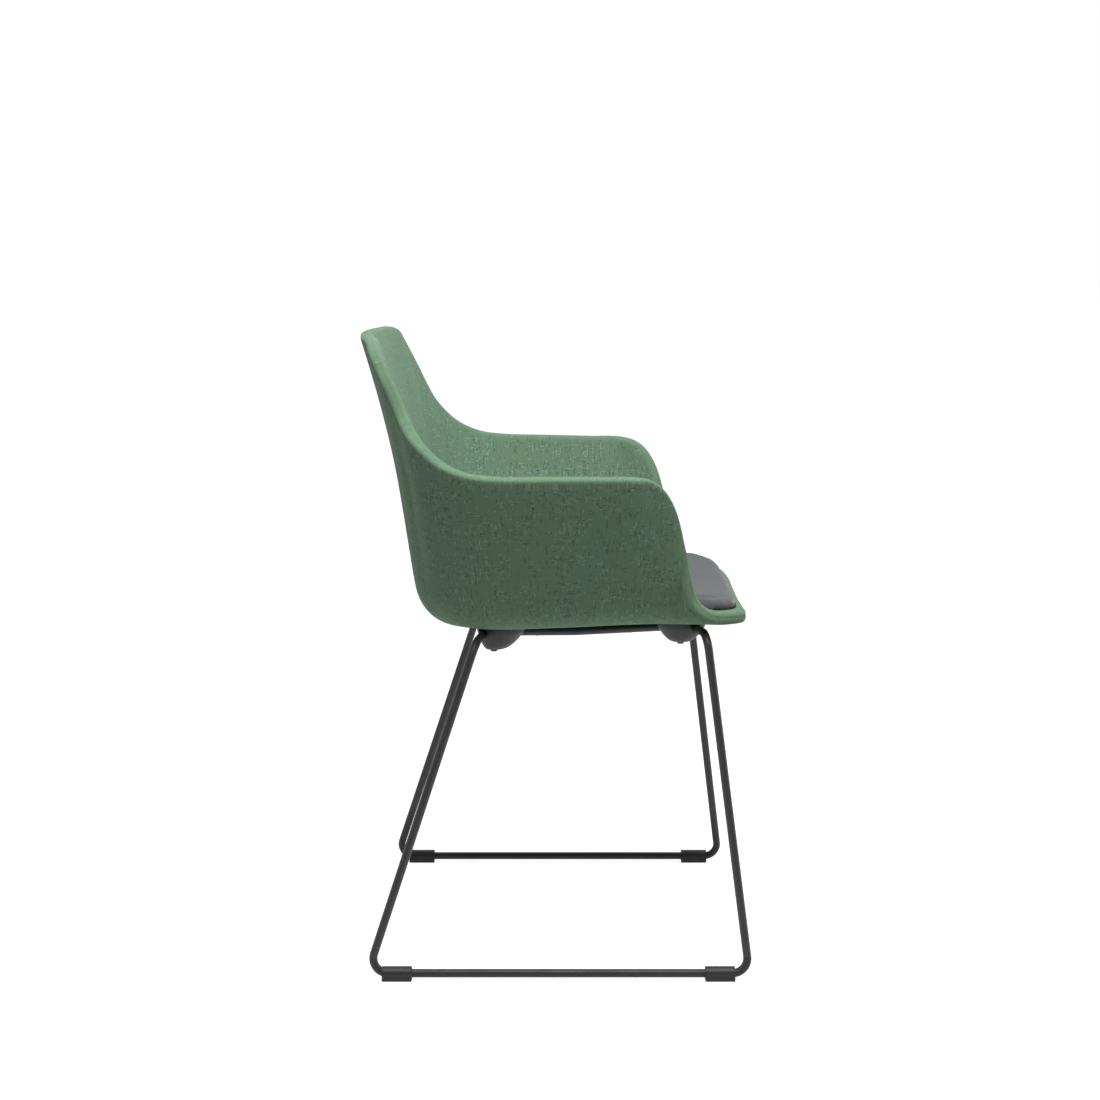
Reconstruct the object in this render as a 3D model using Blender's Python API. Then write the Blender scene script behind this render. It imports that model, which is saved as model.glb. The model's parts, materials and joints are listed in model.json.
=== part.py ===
"""Upholstered tub armchair on a sled base of bent round rod.

The chair stands on z = 0 with its front towards -Y, and its middle plane is x = 0.
Left and right are the sitter's.  All sizes are in metres.
"""
import math

import bmesh
import bpy
import numpy as np
from mathutils import Vector
from mathutils.bvhtree import BVHTree

# Fits
GAP = 0.0003                  # free space between two pieces that touch
BORE_PLAY = 0.0003            # radial play of a screw or a pin in its hole

# Bucket shell: middle of its wall.  Seat width, height and depth drive the whole chair.
FLOOR_HALF_WIDTH = 0.205      # where the side walls would meet the floor
FLOOR_Z = 0.4515              # floor of the bucket at the origin
HALF_DEPTH = 0.2514           # from the origin to the top of the back
SHELL_THICK = 0.019           # whole wall, cover to cover; the rim is its half round
CORE_THICK = 0.008            # moulded core between the two covers
FLOOR_SLOPE = -0.0245         # the floor falls towards the back
DISH_DEPTH = 0.01366          # rise of the dished floor at FLOOR_HALF_WIDTH
FLOOR_BACK_INSET = 0.0774     # from the top of the back to where it would meet the floor
FLOOR_BACK_Y = HALF_DEPTH - FLOOR_BACK_INSET
FLOOR_TURN_LENGTH = 0.099     # the plan outline turns round the back over this length
FLOOR_TURN_Y = FLOOR_BACK_Y - FLOOR_TURN_LENGTH
FLOOR_CORNER_POWER = 0.667    # squareness of the rear plan corners
FILLET_REACH = 0.052          # how far floor and wall are blended, each way
BLEND_LIMIT = 0.8             # largest share of a low wall that the blend takes up
SECTION_HUB_Y = -0.040        # all sections of the shell start at this point

# Bucket shell: rim line, at the centre of the rim's half round
LIP_INSET = 0.0003            # the lip reaches less far forward than the back does back
LIP_Y = LIP_INSET - HALF_DEPTH
LIP_FLARE = 0.0105            # widths of the rim line beyond the floor's
LIP_HALF_WIDTH = FLOOR_HALF_WIDTH + LIP_FLARE
LIP_SWEEP = 0.0430            # the lip's corners lie this far behind its middle
LIP_SIDE_Y = LIP_Y + LIP_SWEEP
LIP_SIDE_RISE = 0.001
ARM_HEIGHT = 0.2015           # heights above the floor of the bucket
ARM_Z = FLOOR_Z + ARM_HEIGHT
ARM_FRONT_FLARE = 0.0705
ARM_FRONT_HALF_WIDTH = FLOOR_HALF_WIDTH + ARM_FRONT_FLARE
ARM_SWEEP = 0.0983            # length over which the front edge rises to the arm
ARM_FRONT_Y = LIP_SIDE_Y + ARM_SWEEP
ARM_FLARE = 0.0885
ARM_HALF_WIDTH = FLOOR_HALF_WIDTH + ARM_FLARE
ARM_WIDEST_Y = FLOOR_TURN_Y
ARM_RISE = 0.0037             # the arms climb this much towards the back
BACK_HEIGHT = 0.3755
BACK_Z = FLOOR_Z + BACK_HEIGHT
BACK_Y = HALF_DEPTH
BACK_CORNER_INSET = 0.027
BACK_CORNER_HALF_WIDTH = FLOOR_HALF_WIDTH - BACK_CORNER_INSET
BACK_CORNER_SWEEP = 0.0209    # the back's corners lie this far before its middle
BACK_CORNER_Y = BACK_Y - BACK_CORNER_SWEEP
BACK_CORNER_DROP = 0.0049     # the top edge falls this much at its corners
SIDE_BULGE = 0.004            # side walls swell outwards
BACK_BULGE = -0.011           # the back is hollow outside, as its lumbar part comes forward
BACK_WALL_START = 0.5         # share of the rear turn that still counts as side wall

# Seat pad
PAD_THICK = 0.0175            # at the middle
PAD_EDGE_THICK = 0.0145
PAD_ROUND = 0.0060            # roundness of the pad's upper edge
PAD_TUCK = 0.0015             # how far the side draws in at its foot
PAD_LIP_MARGIN = 0.0015       # pad's edge behind the rim line at the lip's middle
PAD_CORNER_MARGIN = 0.0030    # and at its corners
PAD_CORNER_INSET = 0.035      # the corners start this far inside the floor's width
PAD_CORNER_HALF_WIDTH = FLOOR_HALF_WIDTH - PAD_CORNER_INSET
PAD_WALL_SHARE = 0.68         # where the edge lies in the blend of floor and wall
PAD_WALL_HEIGHT = 0.035       # wall from which the pad's edge keeps to the blend
PAD_RINGS = (0.35, 0.65, 0.86)         # shares of the way from the hub to the edge
PAD_LOW_SHARE = 0.42          # heights on the side, as shares of the edge's thickness
PAD_HIGH_SHARE = 0.80
PAD_EDGE_CROWN = 0.10         # share of the crown left at the rounded edge

# Sled frame: axis of the rod
ROD_DIA = 0.011
RUNNER_INSET = 0.0283         # runners stand this far inside the arms' widest point
RUNNER_HALF_WIDTH = ARM_HALF_WIDTH - RUNNER_INSET
RUNNER_Z = 0.0088
RUNNER_FRONT_REACH = 0.0068   # runner and front leg would meet this far past the depth
RUNNER_FRONT_Y = -HALF_DEPTH - RUNNER_FRONT_REACH
RUNNER_BACK_INSET = 0.0100
RUNNER_BACK_Y = HALF_DEPTH - RUNNER_BACK_INSET
FOOT_BEND_RADIUS = 0.0195
LEG_TOP_OUTSET = 0.009        # legs end beside the floor's edge
LEG_TOP_HALF_WIDTH = FLOOR_HALF_WIDTH + LEG_TOP_OUTSET
LEG_TOP_FRONT_SETBACK = 0.0495         # behind the lip
LEG_TOP_FRONT_Y = LIP_Y + LEG_TOP_FRONT_SETBACK
LEG_TOP_FRONT_DROP = 0.0012   # drops are measured from FLOOR_Z
LEG_TOP_FRONT_Z = FLOOR_Z - LEG_TOP_FRONT_DROP
LEG_TOP_BACK_SETBACK = 0.1522          # before the top of the back
LEG_TOP_BACK_Y = BACK_Y - LEG_TOP_BACK_SETBACK
LEG_TOP_BACK_DROP = 0.0120
LEG_TOP_BACK_Z = FLOOR_Z - LEG_TOP_BACK_DROP
TOP_BEND_RADIUS = 0.024

# Domed mounts under the seat, and the rails that run close together through them
DOME_X = 0.134
FRONT_DOME_SETBACK = 0.0781   # behind the lip
FRONT_DOME_Y = LIP_Y + FRONT_DOME_SETBACK
BACK_DOME_SETBACK = 0.1829    # before the top of the back
BACK_DOME_Y = BACK_Y - BACK_DOME_SETBACK
DOME_HALF_LENGTH = 0.0320
DOME_HALF_WIDTH = 0.0270
FRONT_DOME_DROP = 0.0257      # lowest face of the mounts, measured from FLOOR_Z
BACK_DOME_DROP = 0.0361
FRONT_DOME_Z = FLOOR_Z - FRONT_DOME_DROP
BACK_DOME_Z = FLOOR_Z - BACK_DOME_DROP
DOME_SKIRT_DROP = 0.0050      # straight skirt under the shell
DOME_BLANK_RISE = 0.038       # uncut height above the skirt, more than the dish rises
DOME_RINGS = (0.3, 0.55, 0.75, 0.9, 1.0)     # from the flat bottom to the skirt
DOME_POWER = 2.2              # curve of its lower side
DOME_FLAT_SHARE = 0.28        # flat bottom as a share of the outline
SCREW_OUTSET = 0.006          # the screws stand outside of the mounts' middle
SCREW_X = DOME_X + SCREW_OUTSET
FRONT_SCREW_SHIFT = 0.0012    # and behind it
FRONT_SCREW_Y = FRONT_DOME_Y + FRONT_SCREW_SHIFT
BACK_SCREW_SHIFT = 0.0095
BACK_SCREW_Y = BACK_DOME_Y + BACK_SCREW_SHIFT
RAIL_FRONT_INSET = 0.016      # the rails pass inside of the screws
RAIL_FRONT_SHIFT = 0.0130
RAIL_FRONT_DROP = 0.0072
RAIL_FRONT = (DOME_X - RAIL_FRONT_INSET, FRONT_DOME_Y - RAIL_FRONT_SHIFT,
              FLOOR_Z - RAIL_FRONT_DROP)
RAIL_MIDDLE_INSET = 0.015
RAIL_MIDDLE_Y = -0.0300
RAIL_MIDDLE_DROP = 0.0150
RAIL_MIDDLE = (DOME_X - RAIL_MIDDLE_INSET, RAIL_MIDDLE_Y, FLOOR_Z - RAIL_MIDDLE_DROP)
RAIL_BACK_INSET = 0.012
RAIL_BACK_SHIFT = 0.0215
RAIL_BACK_DROP = 0.0152
RAIL_BACK = (DOME_X - RAIL_BACK_INSET, BACK_DOME_Y + RAIL_BACK_SHIFT,
             FLOOR_Z - RAIL_BACK_DROP)
RAIL_BEND_RADIUS = 0.028

# Cross bars welded between the rails
BAR_DIA = 0.010
FRONT_BAR_SETBACK = 0.0680    # behind the front mounts
FRONT_BAR_Y = FRONT_DOME_Y + FRONT_BAR_SETBACK
BACK_BAR_SETBACK = 0.0485     # before the back mounts
BACK_BAR_Y = BACK_DOME_Y - BACK_BAR_SETBACK
BAR_DIP = 0.0045              # the bars bow down to clear the dished floor
BAR_FLAT_SHARE = 0.45         # share of each bar that lies at the lower level

# Screws and the threaded inserts in the core
SCREW_DIA = 0.006
SCREW_HEAD_DIA = 0.009
SCREW_HEAD_HEIGHT = 0.0025
SCREW_EDGE = 0.0006           # chamfer of head and tip
SCREW_SOCKET_DIA = 0.004
SCREW_SOCKET_DEPTH = 0.0015
INSERT_DIA = 0.0095
INSERT_FLANGE_DIA = 0.0125
INSERT_FLANGE_THICK = 0.0012

# Gliders on the runners, and their lock pins
GLIDER_LENGTH = 0.039
GLIDER_WALL = 0.0037
GLIDER_INSET = 0.0384         # from each end of the runner to the glider's middle
GLIDER_FRONT_Y = RUNNER_FRONT_Y + GLIDER_INSET
GLIDER_BACK_Y = RUNNER_BACK_Y - GLIDER_INSET
GLIDER_SLOT = 0.0044          # width of the slot in the sole
GLIDER_SLOT_TOP = 0.00275     # the slot starts this far below the rod's axis
GLIDER_SOLE_CHAMFER = 0.0012
GLIDER_ARC_STEPS = 8
PIN_DIA = 0.0040
PIN_FOOT_Z = 0.0015
PIN_DEPTH = 0.0030            # how far it goes into the rod

# Facets
SHARP_ANGLE = 35              # degrees; steeper edges are shaded sharp
ROD_SIDES = 12
ROUND_SIDES = 12
DOME_SIDES = 20
BEND_STEPS = 5
CUTTER_REACH = 1.3            # how far a cutter goes past the rim

# Finishes: colour, roughness, metallic
FINISHES = {
    "shell_core": ((0.035, 0.035, 0.037), 0.55, 0.0),
    "green_weave": ((0.085, 0.165, 0.100), 0.92, 0.0),
    "grey_weave": ((0.165, 0.170, 0.185), 0.93, 0.0),
    "black_powder": ((0.045, 0.045, 0.047), 0.48, 0.0),
    "black_plastic": ((0.028, 0.028, 0.030), 0.50, 0.0),
    "black_steel": ((0.020, 0.020, 0.022), 0.40, 1.0),
    "zinc_steel": ((0.520, 0.520, 0.540), 0.38, 1.0),
}

# Rim line between landmarks: share of the way in x, y and z, and the turn of the
# floor outline round the back in degrees.
LIP_SHAPE = ((0.00, 0.000), (0.42, 0.010), (0.70, 0.060), (0.85, 0.218), (0.951, 0.600))
ARM_FRONT_SHAPE = (
    (0.000, 0.000, 0.000), (0.020, 0.145, 0.033), (0.036, 0.280, 0.108),
    (0.050, 0.350, 0.222), (0.072, 0.398, 0.345), (0.175, 0.471, 0.490),
    (0.347, 0.521, 0.607), (0.622, 0.654, 0.845), (0.750, 0.769, 0.940),
    (0.873, 0.900, 0.986),
)
ARM_TOP_SHAPE = ((0.00, 0.000, 0.00), (0.31, 0.297, 0.41), (0.69, 0.675, 0.70))
BACK_SWEEP_SHAPE = (
    (0.000, 0.000, 0.000, 0), (0.013, 0.206, 0.023, 8), (0.065, 0.365, 0.077, 15),
    (0.147, 0.479, 0.143, 21), (0.257, 0.617, 0.268, 28), (0.369, 0.682, 0.354, 33),
    (0.476, 0.732, 0.441, 38), (0.554, 0.792, 0.563, 43), (0.622, 0.878, 0.739, 49),
    (0.701, 0.930, 0.841, 53), (0.827, 0.981, 0.953, 57),
)
BACK_TOP_SHAPE = ((0.000, 0.000, 0.00, 61), (0.157, 0.311, 0.67, 66),
                  (0.522, 0.742, 0.90, 78), (1.000, 1.000, 1.00, 90))

# Ring places along a section, as shares of its floor, its blend and its wall
FLOOR_RINGS = (0.34, 0.68, 1.0)
BLEND_RINGS = (0.25, 0.5, 0.75, 1.0)
WALL_RINGS = (0.33, 0.67, 1.0)
SECTION_STEPS = 10
RIM_ARC_STEPS = 4


def clear_scene():
    for item in list(bpy.data.objects):
        bpy.data.objects.remove(item, do_unlink=True)


def finish(name):
    """The material of that name, made on first use."""
    material = bpy.data.materials.get(name)
    if material is None:
        colour, roughness, metallic = FINISHES[name]
        material = bpy.data.materials.new(name)
        material.use_nodes = True
        shader = material.node_tree.nodes["Principled BSDF"]
        shader.inputs["Base Color"].default_value = (*colour, 1.0)
        shader.inputs["Roughness"].default_value = roughness
        shader.inputs["Metallic"].default_value = metallic
        material.diffuse_color = (*colour, 1.0)
    return material


def make_object(name, vertices, faces, finish_name):
    """A new object whose faces all point outwards."""
    mesh = bpy.data.meshes.new(name)
    mesh.from_pydata([tuple(v) for v in vertices], [], faces)
    work = bmesh.new()
    work.from_mesh(mesh)
    bmesh.ops.recalc_face_normals(work, faces=work.faces)
    work.to_mesh(mesh)
    work.free()
    mesh.shade_smooth()
    mesh.set_sharp_from_angle(angle=math.radians(SHARP_ANGLE))
    thing = bpy.data.objects.new(name, mesh)
    bpy.context.scene.collection.objects.link(thing)
    mesh.materials.append(finish(finish_name))
    return thing


def as_cutter(thing):
    thing.hide_render = True
    thing.display_type = "WIRE"
    return thing


def cut(target, cutter):
    """Take a hidden cutter's shape out of the target."""
    step = target.modifiers.new("cut_" + cutter.name, "BOOLEAN")
    step.operation = "DIFFERENCE"
    step.object = cutter


def skin_rings(rings, loop=False, turn_back=None):
    """Faces between rings of equal size; single-vertex ends become fans.

    With turn_back, quads are halved, and from that ring on, where the skin runs back
    to the hub, along the other diagonal: parallel skins then stay parallel.
    """
    vertices = []
    faces = []
    starts = []
    for ring in rings:
        starts.append((len(vertices), len(ring)))
        vertices.extend(ring)
    spans = len(rings) if loop else len(rings) - 1
    for i in range(spans):
        first, first_size = starts[i]
        second, second_size = starts[(i + 1) % len(rings)]
        size = max(first_size, second_size)
        for k in range(size):
            k2 = (k + 1) % size
            if first_size == 1:
                faces.append((first, second + k, second + k2))
            elif second_size == 1:
                faces.append((first + k, second, first + k2))
            elif turn_back is None:
                faces.append((first + k, second + k, second + k2, first + k2))
            elif i < turn_back:
                faces.append((first + k, second + k, second + k2))
                faces.append((first + k, second + k2, first + k2))
            else:
                faces.append((first + k, second + k, first + k2))
                faces.append((second + k, second + k2, first + k2))
    return vertices, faces


def turned(name, outline, x, y, finish_name, sides=ROUND_SIDES):
    """A solid turned about a vertical axis from (radius, z) points."""
    rings = []
    for radius, z in outline:
        if radius == 0:
            rings.append([(x, y, z)])
        else:
            rings.append([(x + radius * math.cos(2 * math.pi * k / sides),
                           y + radius * math.sin(2 * math.pi * k / sides), z)
                          for k in range(sides)])
    vertices, faces = skin_rings(rings)
    return make_object(name, vertices, faces, finish_name)


def drill(x, y, low, high, diameter, name):
    """A hidden upright cylinder for a hole."""
    radius = diameter / 2
    outline = ((0, low), (radius, low), (radius, high), (0, high))
    return as_cutter(turned(name, outline, x, y, "black_steel"))


def floor_z(x, y):
    """Height of the middle of the dished floor."""
    return FLOOR_Z + FLOOR_SLOPE * y + DISH_DEPTH * (x / FLOOR_HALF_WIDTH) ** 2


def between(a, b, share):
    return a + (b - a) * share


def rear_corner(turn):
    """Point of the floor outline at a turn of 0 (side) to 90 degrees (back)."""
    c = math.cos(math.radians(turn)) ** FLOOR_CORNER_POWER
    s = math.sin(math.radians(turn)) ** FLOOR_CORNER_POWER
    return (FLOOR_HALF_WIDTH * c, between(FLOOR_TURN_Y, FLOOR_BACK_Y, s))


def half_stations():
    """Rim centre, floor corner and wall bulge, from the lip's middle to the back's."""
    rows = []
    lip_side_z = floor_z(LIP_HALF_WIDTH, LIP_SIDE_Y) + LIP_SIDE_RISE
    arm_back_z = ARM_Z + ARM_RISE
    back_corner_z = BACK_Z - BACK_CORNER_DROP
    for fx, fy in LIP_SHAPE:
        x = LIP_HALF_WIDTH * fx
        y = between(LIP_Y, LIP_SIDE_Y, fy)
        corner_x = FLOOR_HALF_WIDTH * fx
        corner_y = y + FILLET_REACH * (1 - fx ** 2)
        rows.append(((x, y, floor_z(x, y)), (corner_x, corner_y), 0.0))
    for fx, fy, fz in ARM_FRONT_SHAPE:
        y = between(LIP_SIDE_Y, ARM_FRONT_Y, fy)
        point = (between(LIP_HALF_WIDTH, ARM_FRONT_HALF_WIDTH, fx), y,
                 between(lip_side_z, ARM_Z, fz))
        rows.append((point, (FLOOR_HALF_WIDTH, y), SIDE_BULGE * fz))
    for fx, fy, fz in ARM_TOP_SHAPE:
        y = between(ARM_FRONT_Y, ARM_WIDEST_Y, fy)
        point = (between(ARM_FRONT_HALF_WIDTH, ARM_HALF_WIDTH, fx), y,
                 between(ARM_Z, arm_back_z, fz))
        rows.append((point, (FLOOR_HALF_WIDTH, between(ARM_FRONT_Y, FLOOR_TURN_Y, fy)),
                     SIDE_BULGE))
    for fx, fy, fz, turn in BACK_SWEEP_SHAPE:
        point = (between(ARM_HALF_WIDTH, BACK_CORNER_HALF_WIDTH, fx),
                 between(ARM_WIDEST_Y, BACK_CORNER_Y, fy),
                 between(arm_back_z, back_corner_z, fz))
        rows.append((point, rear_corner(turn), wall_bulge(turn)))
    for fx, fy, fz, turn in BACK_TOP_SHAPE:
        point = (between(BACK_CORNER_HALF_WIDTH, 0.0, fx),
                 between(BACK_CORNER_Y, BACK_Y, fy), between(back_corner_z, BACK_Z, fz))
        rows.append((point, rear_corner(turn), wall_bulge(turn)))
    return rows


def wall_bulge(turn):
    """Swell of the wall round the rear turn, from side to back."""
    share = math.sin(math.radians(turn)) ** 2
    return between(SIDE_BULGE, BACK_BULGE, min(share / BACK_WALL_START, 1.0))


def stations():
    """All stations round the rim, left half first."""
    half = half_stations()
    mirrored = [((-p[0], p[1], p[2]), (-k[0], k[1]), b) for p, k, b in half[-2:0:-1]]
    return half + mirrored


def section(station):
    """Fine points along one section, hub to rim, and their lengths from the hub."""
    rim, corner, bulge = station
    hub = np.array((0.0, SECTION_HUB_Y, floor_z(0.0, SECTION_HUB_Y)))
    rim = np.array(rim)
    foot = np.array((*corner, floor_z(*corner)))
    run = foot[:2] - hub[:2]
    reach = np.linalg.norm(run)
    outward = np.array((*(run / reach), 0.0))
    wall_length = np.linalg.norm(rim - foot)
    control = (foot + rim) / 2 + 2 * bulge * outward
    blend_start = foot[:2] - outward[:2] * FILLET_REACH
    share = min(FILLET_REACH / wall_length, BLEND_LIMIT)

    def wall_point(t):
        return foot * (1 - t) ** 2 + control * 2 * t * (1 - t) + rim * t * t

    points = []
    for i in range(SECTION_STEPS):
        plan = hub[:2] + (blend_start - hub[:2]) * i / SECTION_STEPS
        points.append((*plan, floor_z(*plan)))
    low = np.array((*blend_start, floor_z(*blend_start)))
    high = wall_point(share)
    for i in range(SECTION_STEPS):
        t = i / SECTION_STEPS
        points.append(low * (1 - t) ** 2 + foot * 2 * t * (1 - t) + high * t * t)
    for i in range(SECTION_STEPS + 1):
        points.append(wall_point(share + (1 - share) * i / SECTION_STEPS))
    points = np.array(points)
    steps = np.linalg.norm(np.diff(points, axis=0), axis=1)
    return points, np.concatenate(([0.0], np.cumsum(steps)))


def along(points, lengths, place):
    """Point of a section at a length from its hub."""
    return np.array([np.interp(place, lengths, points[:, i]) for i in range(3)])


def section_places(lengths):
    """Lengths of the shell's rings on one section."""
    floor_end = lengths[SECTION_STEPS]
    blend_end = lengths[2 * SECTION_STEPS]
    end = lengths[-1]
    places = [floor_end * s for s in FLOOR_RINGS]
    places += [between(floor_end, blend_end, s) for s in BLEND_RINGS]
    places += [between(blend_end, end, s) for s in WALL_RINGS]
    return places


def surface_grid(places_of):
    """Points and outward normals of the shell's middle surface, ring by ring."""
    columns = []
    for station in stations():
        points, lengths = section(station)
        columns.append([along(points, lengths, p) for p in places_of(station, lengths)])
    grid = np.array(columns).transpose(1, 0, 2)
    hub = np.array((0.0, SECTION_HUB_Y, floor_z(0.0, SECTION_HUB_Y)))
    padded = np.concatenate((np.broadcast_to(hub, (1, *grid.shape[1:])), grid))
    along_section = np.gradient(padded, axis=0)[1:]
    round_rim = np.roll(grid, -1, axis=1) - np.roll(grid, 1, axis=1)
    normal = np.cross(round_rim, along_section)
    normal /= np.linalg.norm(normal, axis=2, keepdims=True)
    if normal[0, 0, 2] > 0:
        normal = -normal
    return hub, grid, normal


def shell_grid():
    return surface_grid(lambda station, lengths: section_places(lengths))


def rim_frame(grid, normal):
    """Unit direction out of the rim, square to the rim line and to the wall's normal."""
    round_rim = np.roll(grid[-1], -1, axis=0) - np.roll(grid[-1], 1, axis=0)
    heading = np.cross(normal[-1], round_rim)
    heading /= np.linalg.norm(heading, axis=1, keepdims=True)
    if heading[0, 1] > 0:
        heading = -heading
    return heading


def offset_rings(hub, grid, normal, distance):
    """Rings of a parallel surface; a positive distance is on the outer side."""
    rings = [[hub + np.array((0, 0, -1.0)) * distance]]
    for ring, out in zip(grid, normal):
        rings.append(list(ring + out * distance))
    return rings


def build_core():
    hub, grid, normal = shell_grid()
    half = CORE_THICK / 2
    outer = offset_rings(hub, grid, normal, half)
    inner = offset_rings(hub, grid, normal, -half)
    rings = outer + [list(grid[-1])] + inner[::-1]
    vertices, faces = skin_rings(rings, turn_back=len(outer))
    return make_object("shell_core", vertices, faces, "shell_core")


def build_cover(name, side):
    """A padded cover on one side of the core, closed round half of the rim."""
    hub, grid, normal = shell_grid()
    radius = SHELL_THICK / 2
    under = CORE_THICK / 2 + GAP
    heading = rim_frame(grid, normal)
    show = offset_rings(hub, grid, normal, side * radius)
    hidden = offset_rings(hub, grid, normal, side * under)
    rim = []
    seam = GAP / 2
    last_angle = math.acos(seam / radius)
    for i in range(1, RIM_ARC_STEPS + 1):
        angle = last_angle * i / RIM_ARC_STEPS
        rim.append(list(grid[-1] + normal[-1] * side * radius * math.cos(angle)
                        + heading * radius * math.sin(angle)))
    rim.append(list(grid[-1] + normal[-1] * side * seam + heading * GAP))
    rim.append(list(grid[-1] + normal[-1] * side * under + heading * GAP))
    seam_ring = len(show + rim) - 2
    vertices, faces = skin_rings(show + rim + hidden[::-1], turn_back=seam_ring)
    return make_object(name, vertices, faces, "green_weave")


def tub_cutter():
    """Everything above the shell's outer face, grown by the gap."""
    hub, grid, normal = shell_grid()
    rings = offset_rings(hub, grid, normal, SHELL_THICK / 2 + GAP)
    rings.append([(hub[0], hub[1], BACK_Z)])
    vertices, faces = skin_rings(rings, turn_back=len(rings))
    return as_cutter(make_object("tub_cutter", vertices, faces, "shell_core"))


def pad_edge(station, lengths):
    """Length along a section at which the pad ends."""
    rim = station[0]
    floor_end = lengths[SECTION_STEPS]
    blend_end = lengths[2 * SECTION_STEPS]
    to_corner = min(abs(rim[0]) / PAD_CORNER_HALF_WIDTH, 1.0)
    margin = between(PAD_LIP_MARGIN, PAD_CORNER_MARGIN, to_corner ** 2)
    on_lip = lengths[-1] - margin
    on_wall = between(floor_end, blend_end, PAD_WALL_SHARE)
    wall_height = rim[2] - floor_z(rim[0], rim[1])
    return between(on_lip, on_wall, min(max(wall_height / PAD_WALL_HEIGHT, 0.0), 1.0))


def bowl_cutter():
    """Everything below the shell's inner face, grown by the gap."""
    hub, grid, normal = shell_grid()
    rings = offset_rings(hub, grid, normal, -SHELL_THICK / 2 - GAP)
    rings.append([(p[0] * CUTTER_REACH, p[1] * CUTTER_REACH, p[2]) for p in rings[-1]])
    rings.append([(p[0], p[1], 0.0) for p in rings[-1]])
    rings.append([(hub[0], hub[1], 0.0)])
    vertices, faces = skin_rings(rings, turn_back=len(rings))
    return as_cutter(make_object("bowl_cutter", vertices, faces, "shell_core"))


def build_pad():
    """Cushion: crowned top, rounded upper edge, sides drawn in at the foot."""
    def places(station, lengths):
        edge = pad_edge(station, lengths)
        return [edge * s for s in PAD_RINGS] + [edge - PAD_ROUND, edge - PAD_TUCK, edge]
    hub, grid, normal = surface_grid(places)
    base = SHELL_THICK / 2
    up = -normal
    foot, side = grid[-2], grid[-1]
    rings = [[hub], list(foot)]
    rings.append(list(side + up[-1] * (base + PAD_EDGE_THICK * PAD_LOW_SHARE)))
    rings.append(list(foot + up[-2] * (base + PAD_EDGE_THICK * PAD_HIGH_SHARE)))
    for i in reversed(range(len(PAD_RINGS) + 1)):
        crown = 1 - PAD_RINGS[i] ** 2 if i < len(PAD_RINGS) else PAD_EDGE_CROWN
        thickness = between(PAD_EDGE_THICK, PAD_THICK, crown)
        rings.append(list(grid[i] + up[i] * (base + thickness)))
    rings.append([hub + np.array((0, 0, 1.0)) * (base + PAD_THICK)])
    vertices, faces = skin_rings(rings)
    pad = make_object("seat_pad", vertices, faces, "grey_weave")
    cut(pad, bowl_cutter())


def rounded_path(corners, radii, closed):
    """A polyline with an arc of the given radius at each corner."""
    corners = [Vector(c) for c in corners]
    count = len(corners)
    path = []
    for i in range(count):
        if not closed and i in (0, count - 1):
            path.append(corners[i])
            continue
        here = corners[i]
        back = (corners[i - 1] - here).normalized()
        ahead = (corners[(i + 1) % count] - here).normalized()
        half_turn = (math.pi - back.angle(ahead)) / 2
        inset = radii[i] * math.tan(half_turn)
        centre = here + (back + ahead).normalized() * radii[i] / math.cos(half_turn)
        start = here + back * inset - centre
        end = here + ahead * inset - centre
        whole = start.angle(end)
        for k in range(BEND_STEPS + 1):
            t = k / BEND_STEPS
            spoke = (start * math.sin((1 - t) * whole) + end * math.sin(t * whole))
            path.append(centre + spoke / math.sin(whole))
    return path


def sweep(name, path, profile, side_axis, closed, finish_name):
    """A profile of (side, up) offsets carried along a path."""
    rings = []
    count = len(path)
    for i, point in enumerate(path):
        before = path[i - 1] if closed or i > 0 else point
        after = path[(i + 1) % count] if closed or i < count - 1 else point
        forward = (after - before).normalized()
        side = side_axis - forward * side_axis.dot(forward)
        side.normalize()
        up = side.cross(forward)
        rings.append([point + side * a + up * b for a, b in profile])
    if closed:
        vertices, faces = skin_rings(rings, loop=True)
    else:
        vertices, faces = skin_rings(rings)
        size = len(profile)
        faces.append(tuple(range(size)))
        faces.append(tuple(range(len(vertices) - size, len(vertices))))
    return make_object(name, vertices, faces, finish_name)


def circle(radius, sides=ROD_SIDES):
    return [(radius * math.cos(2 * math.pi * (k + 0.5) / sides),
             radius * math.sin(2 * math.pi * (k + 0.5) / sides)) for k in range(sides)]


def frame_corners(side):
    """Corners of one side frame's rod: front foot, up, under the seat, down."""
    return [
        (side * RUNNER_HALF_WIDTH, RUNNER_FRONT_Y, RUNNER_Z),
        (side * LEG_TOP_HALF_WIDTH, LEG_TOP_FRONT_Y, LEG_TOP_FRONT_Z),
        (side * RAIL_FRONT[0], *RAIL_FRONT[1:]),
        (side * RAIL_MIDDLE[0], *RAIL_MIDDLE[1:]),
        (side * RAIL_BACK[0], *RAIL_BACK[1:]),
        (side * LEG_TOP_HALF_WIDTH, LEG_TOP_BACK_Y, LEG_TOP_BACK_Z),
        (side * RUNNER_HALF_WIDTH, RUNNER_BACK_Y, RUNNER_Z),
    ]


def frame_path(side):
    radii = (FOOT_BEND_RADIUS, TOP_BEND_RADIUS, RAIL_BEND_RADIUS, RAIL_BEND_RADIUS,
             RAIL_BEND_RADIUS, TOP_BEND_RADIUS, FOOT_BEND_RADIUS)
    return rounded_path(frame_corners(side), radii, closed=True)


def rail_point(side, y):
    """Axis of the rail under the seat at a given y."""
    corners = frame_corners(side)[2:5]
    for a, b in zip(corners, corners[1:]):
        if a[1] <= y <= b[1]:
            share = (y - a[1]) / (b[1] - a[1])
            return Vector([between(a[i], b[i], share) for i in range(3)])
    raise ValueError("no rail at this y")


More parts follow.
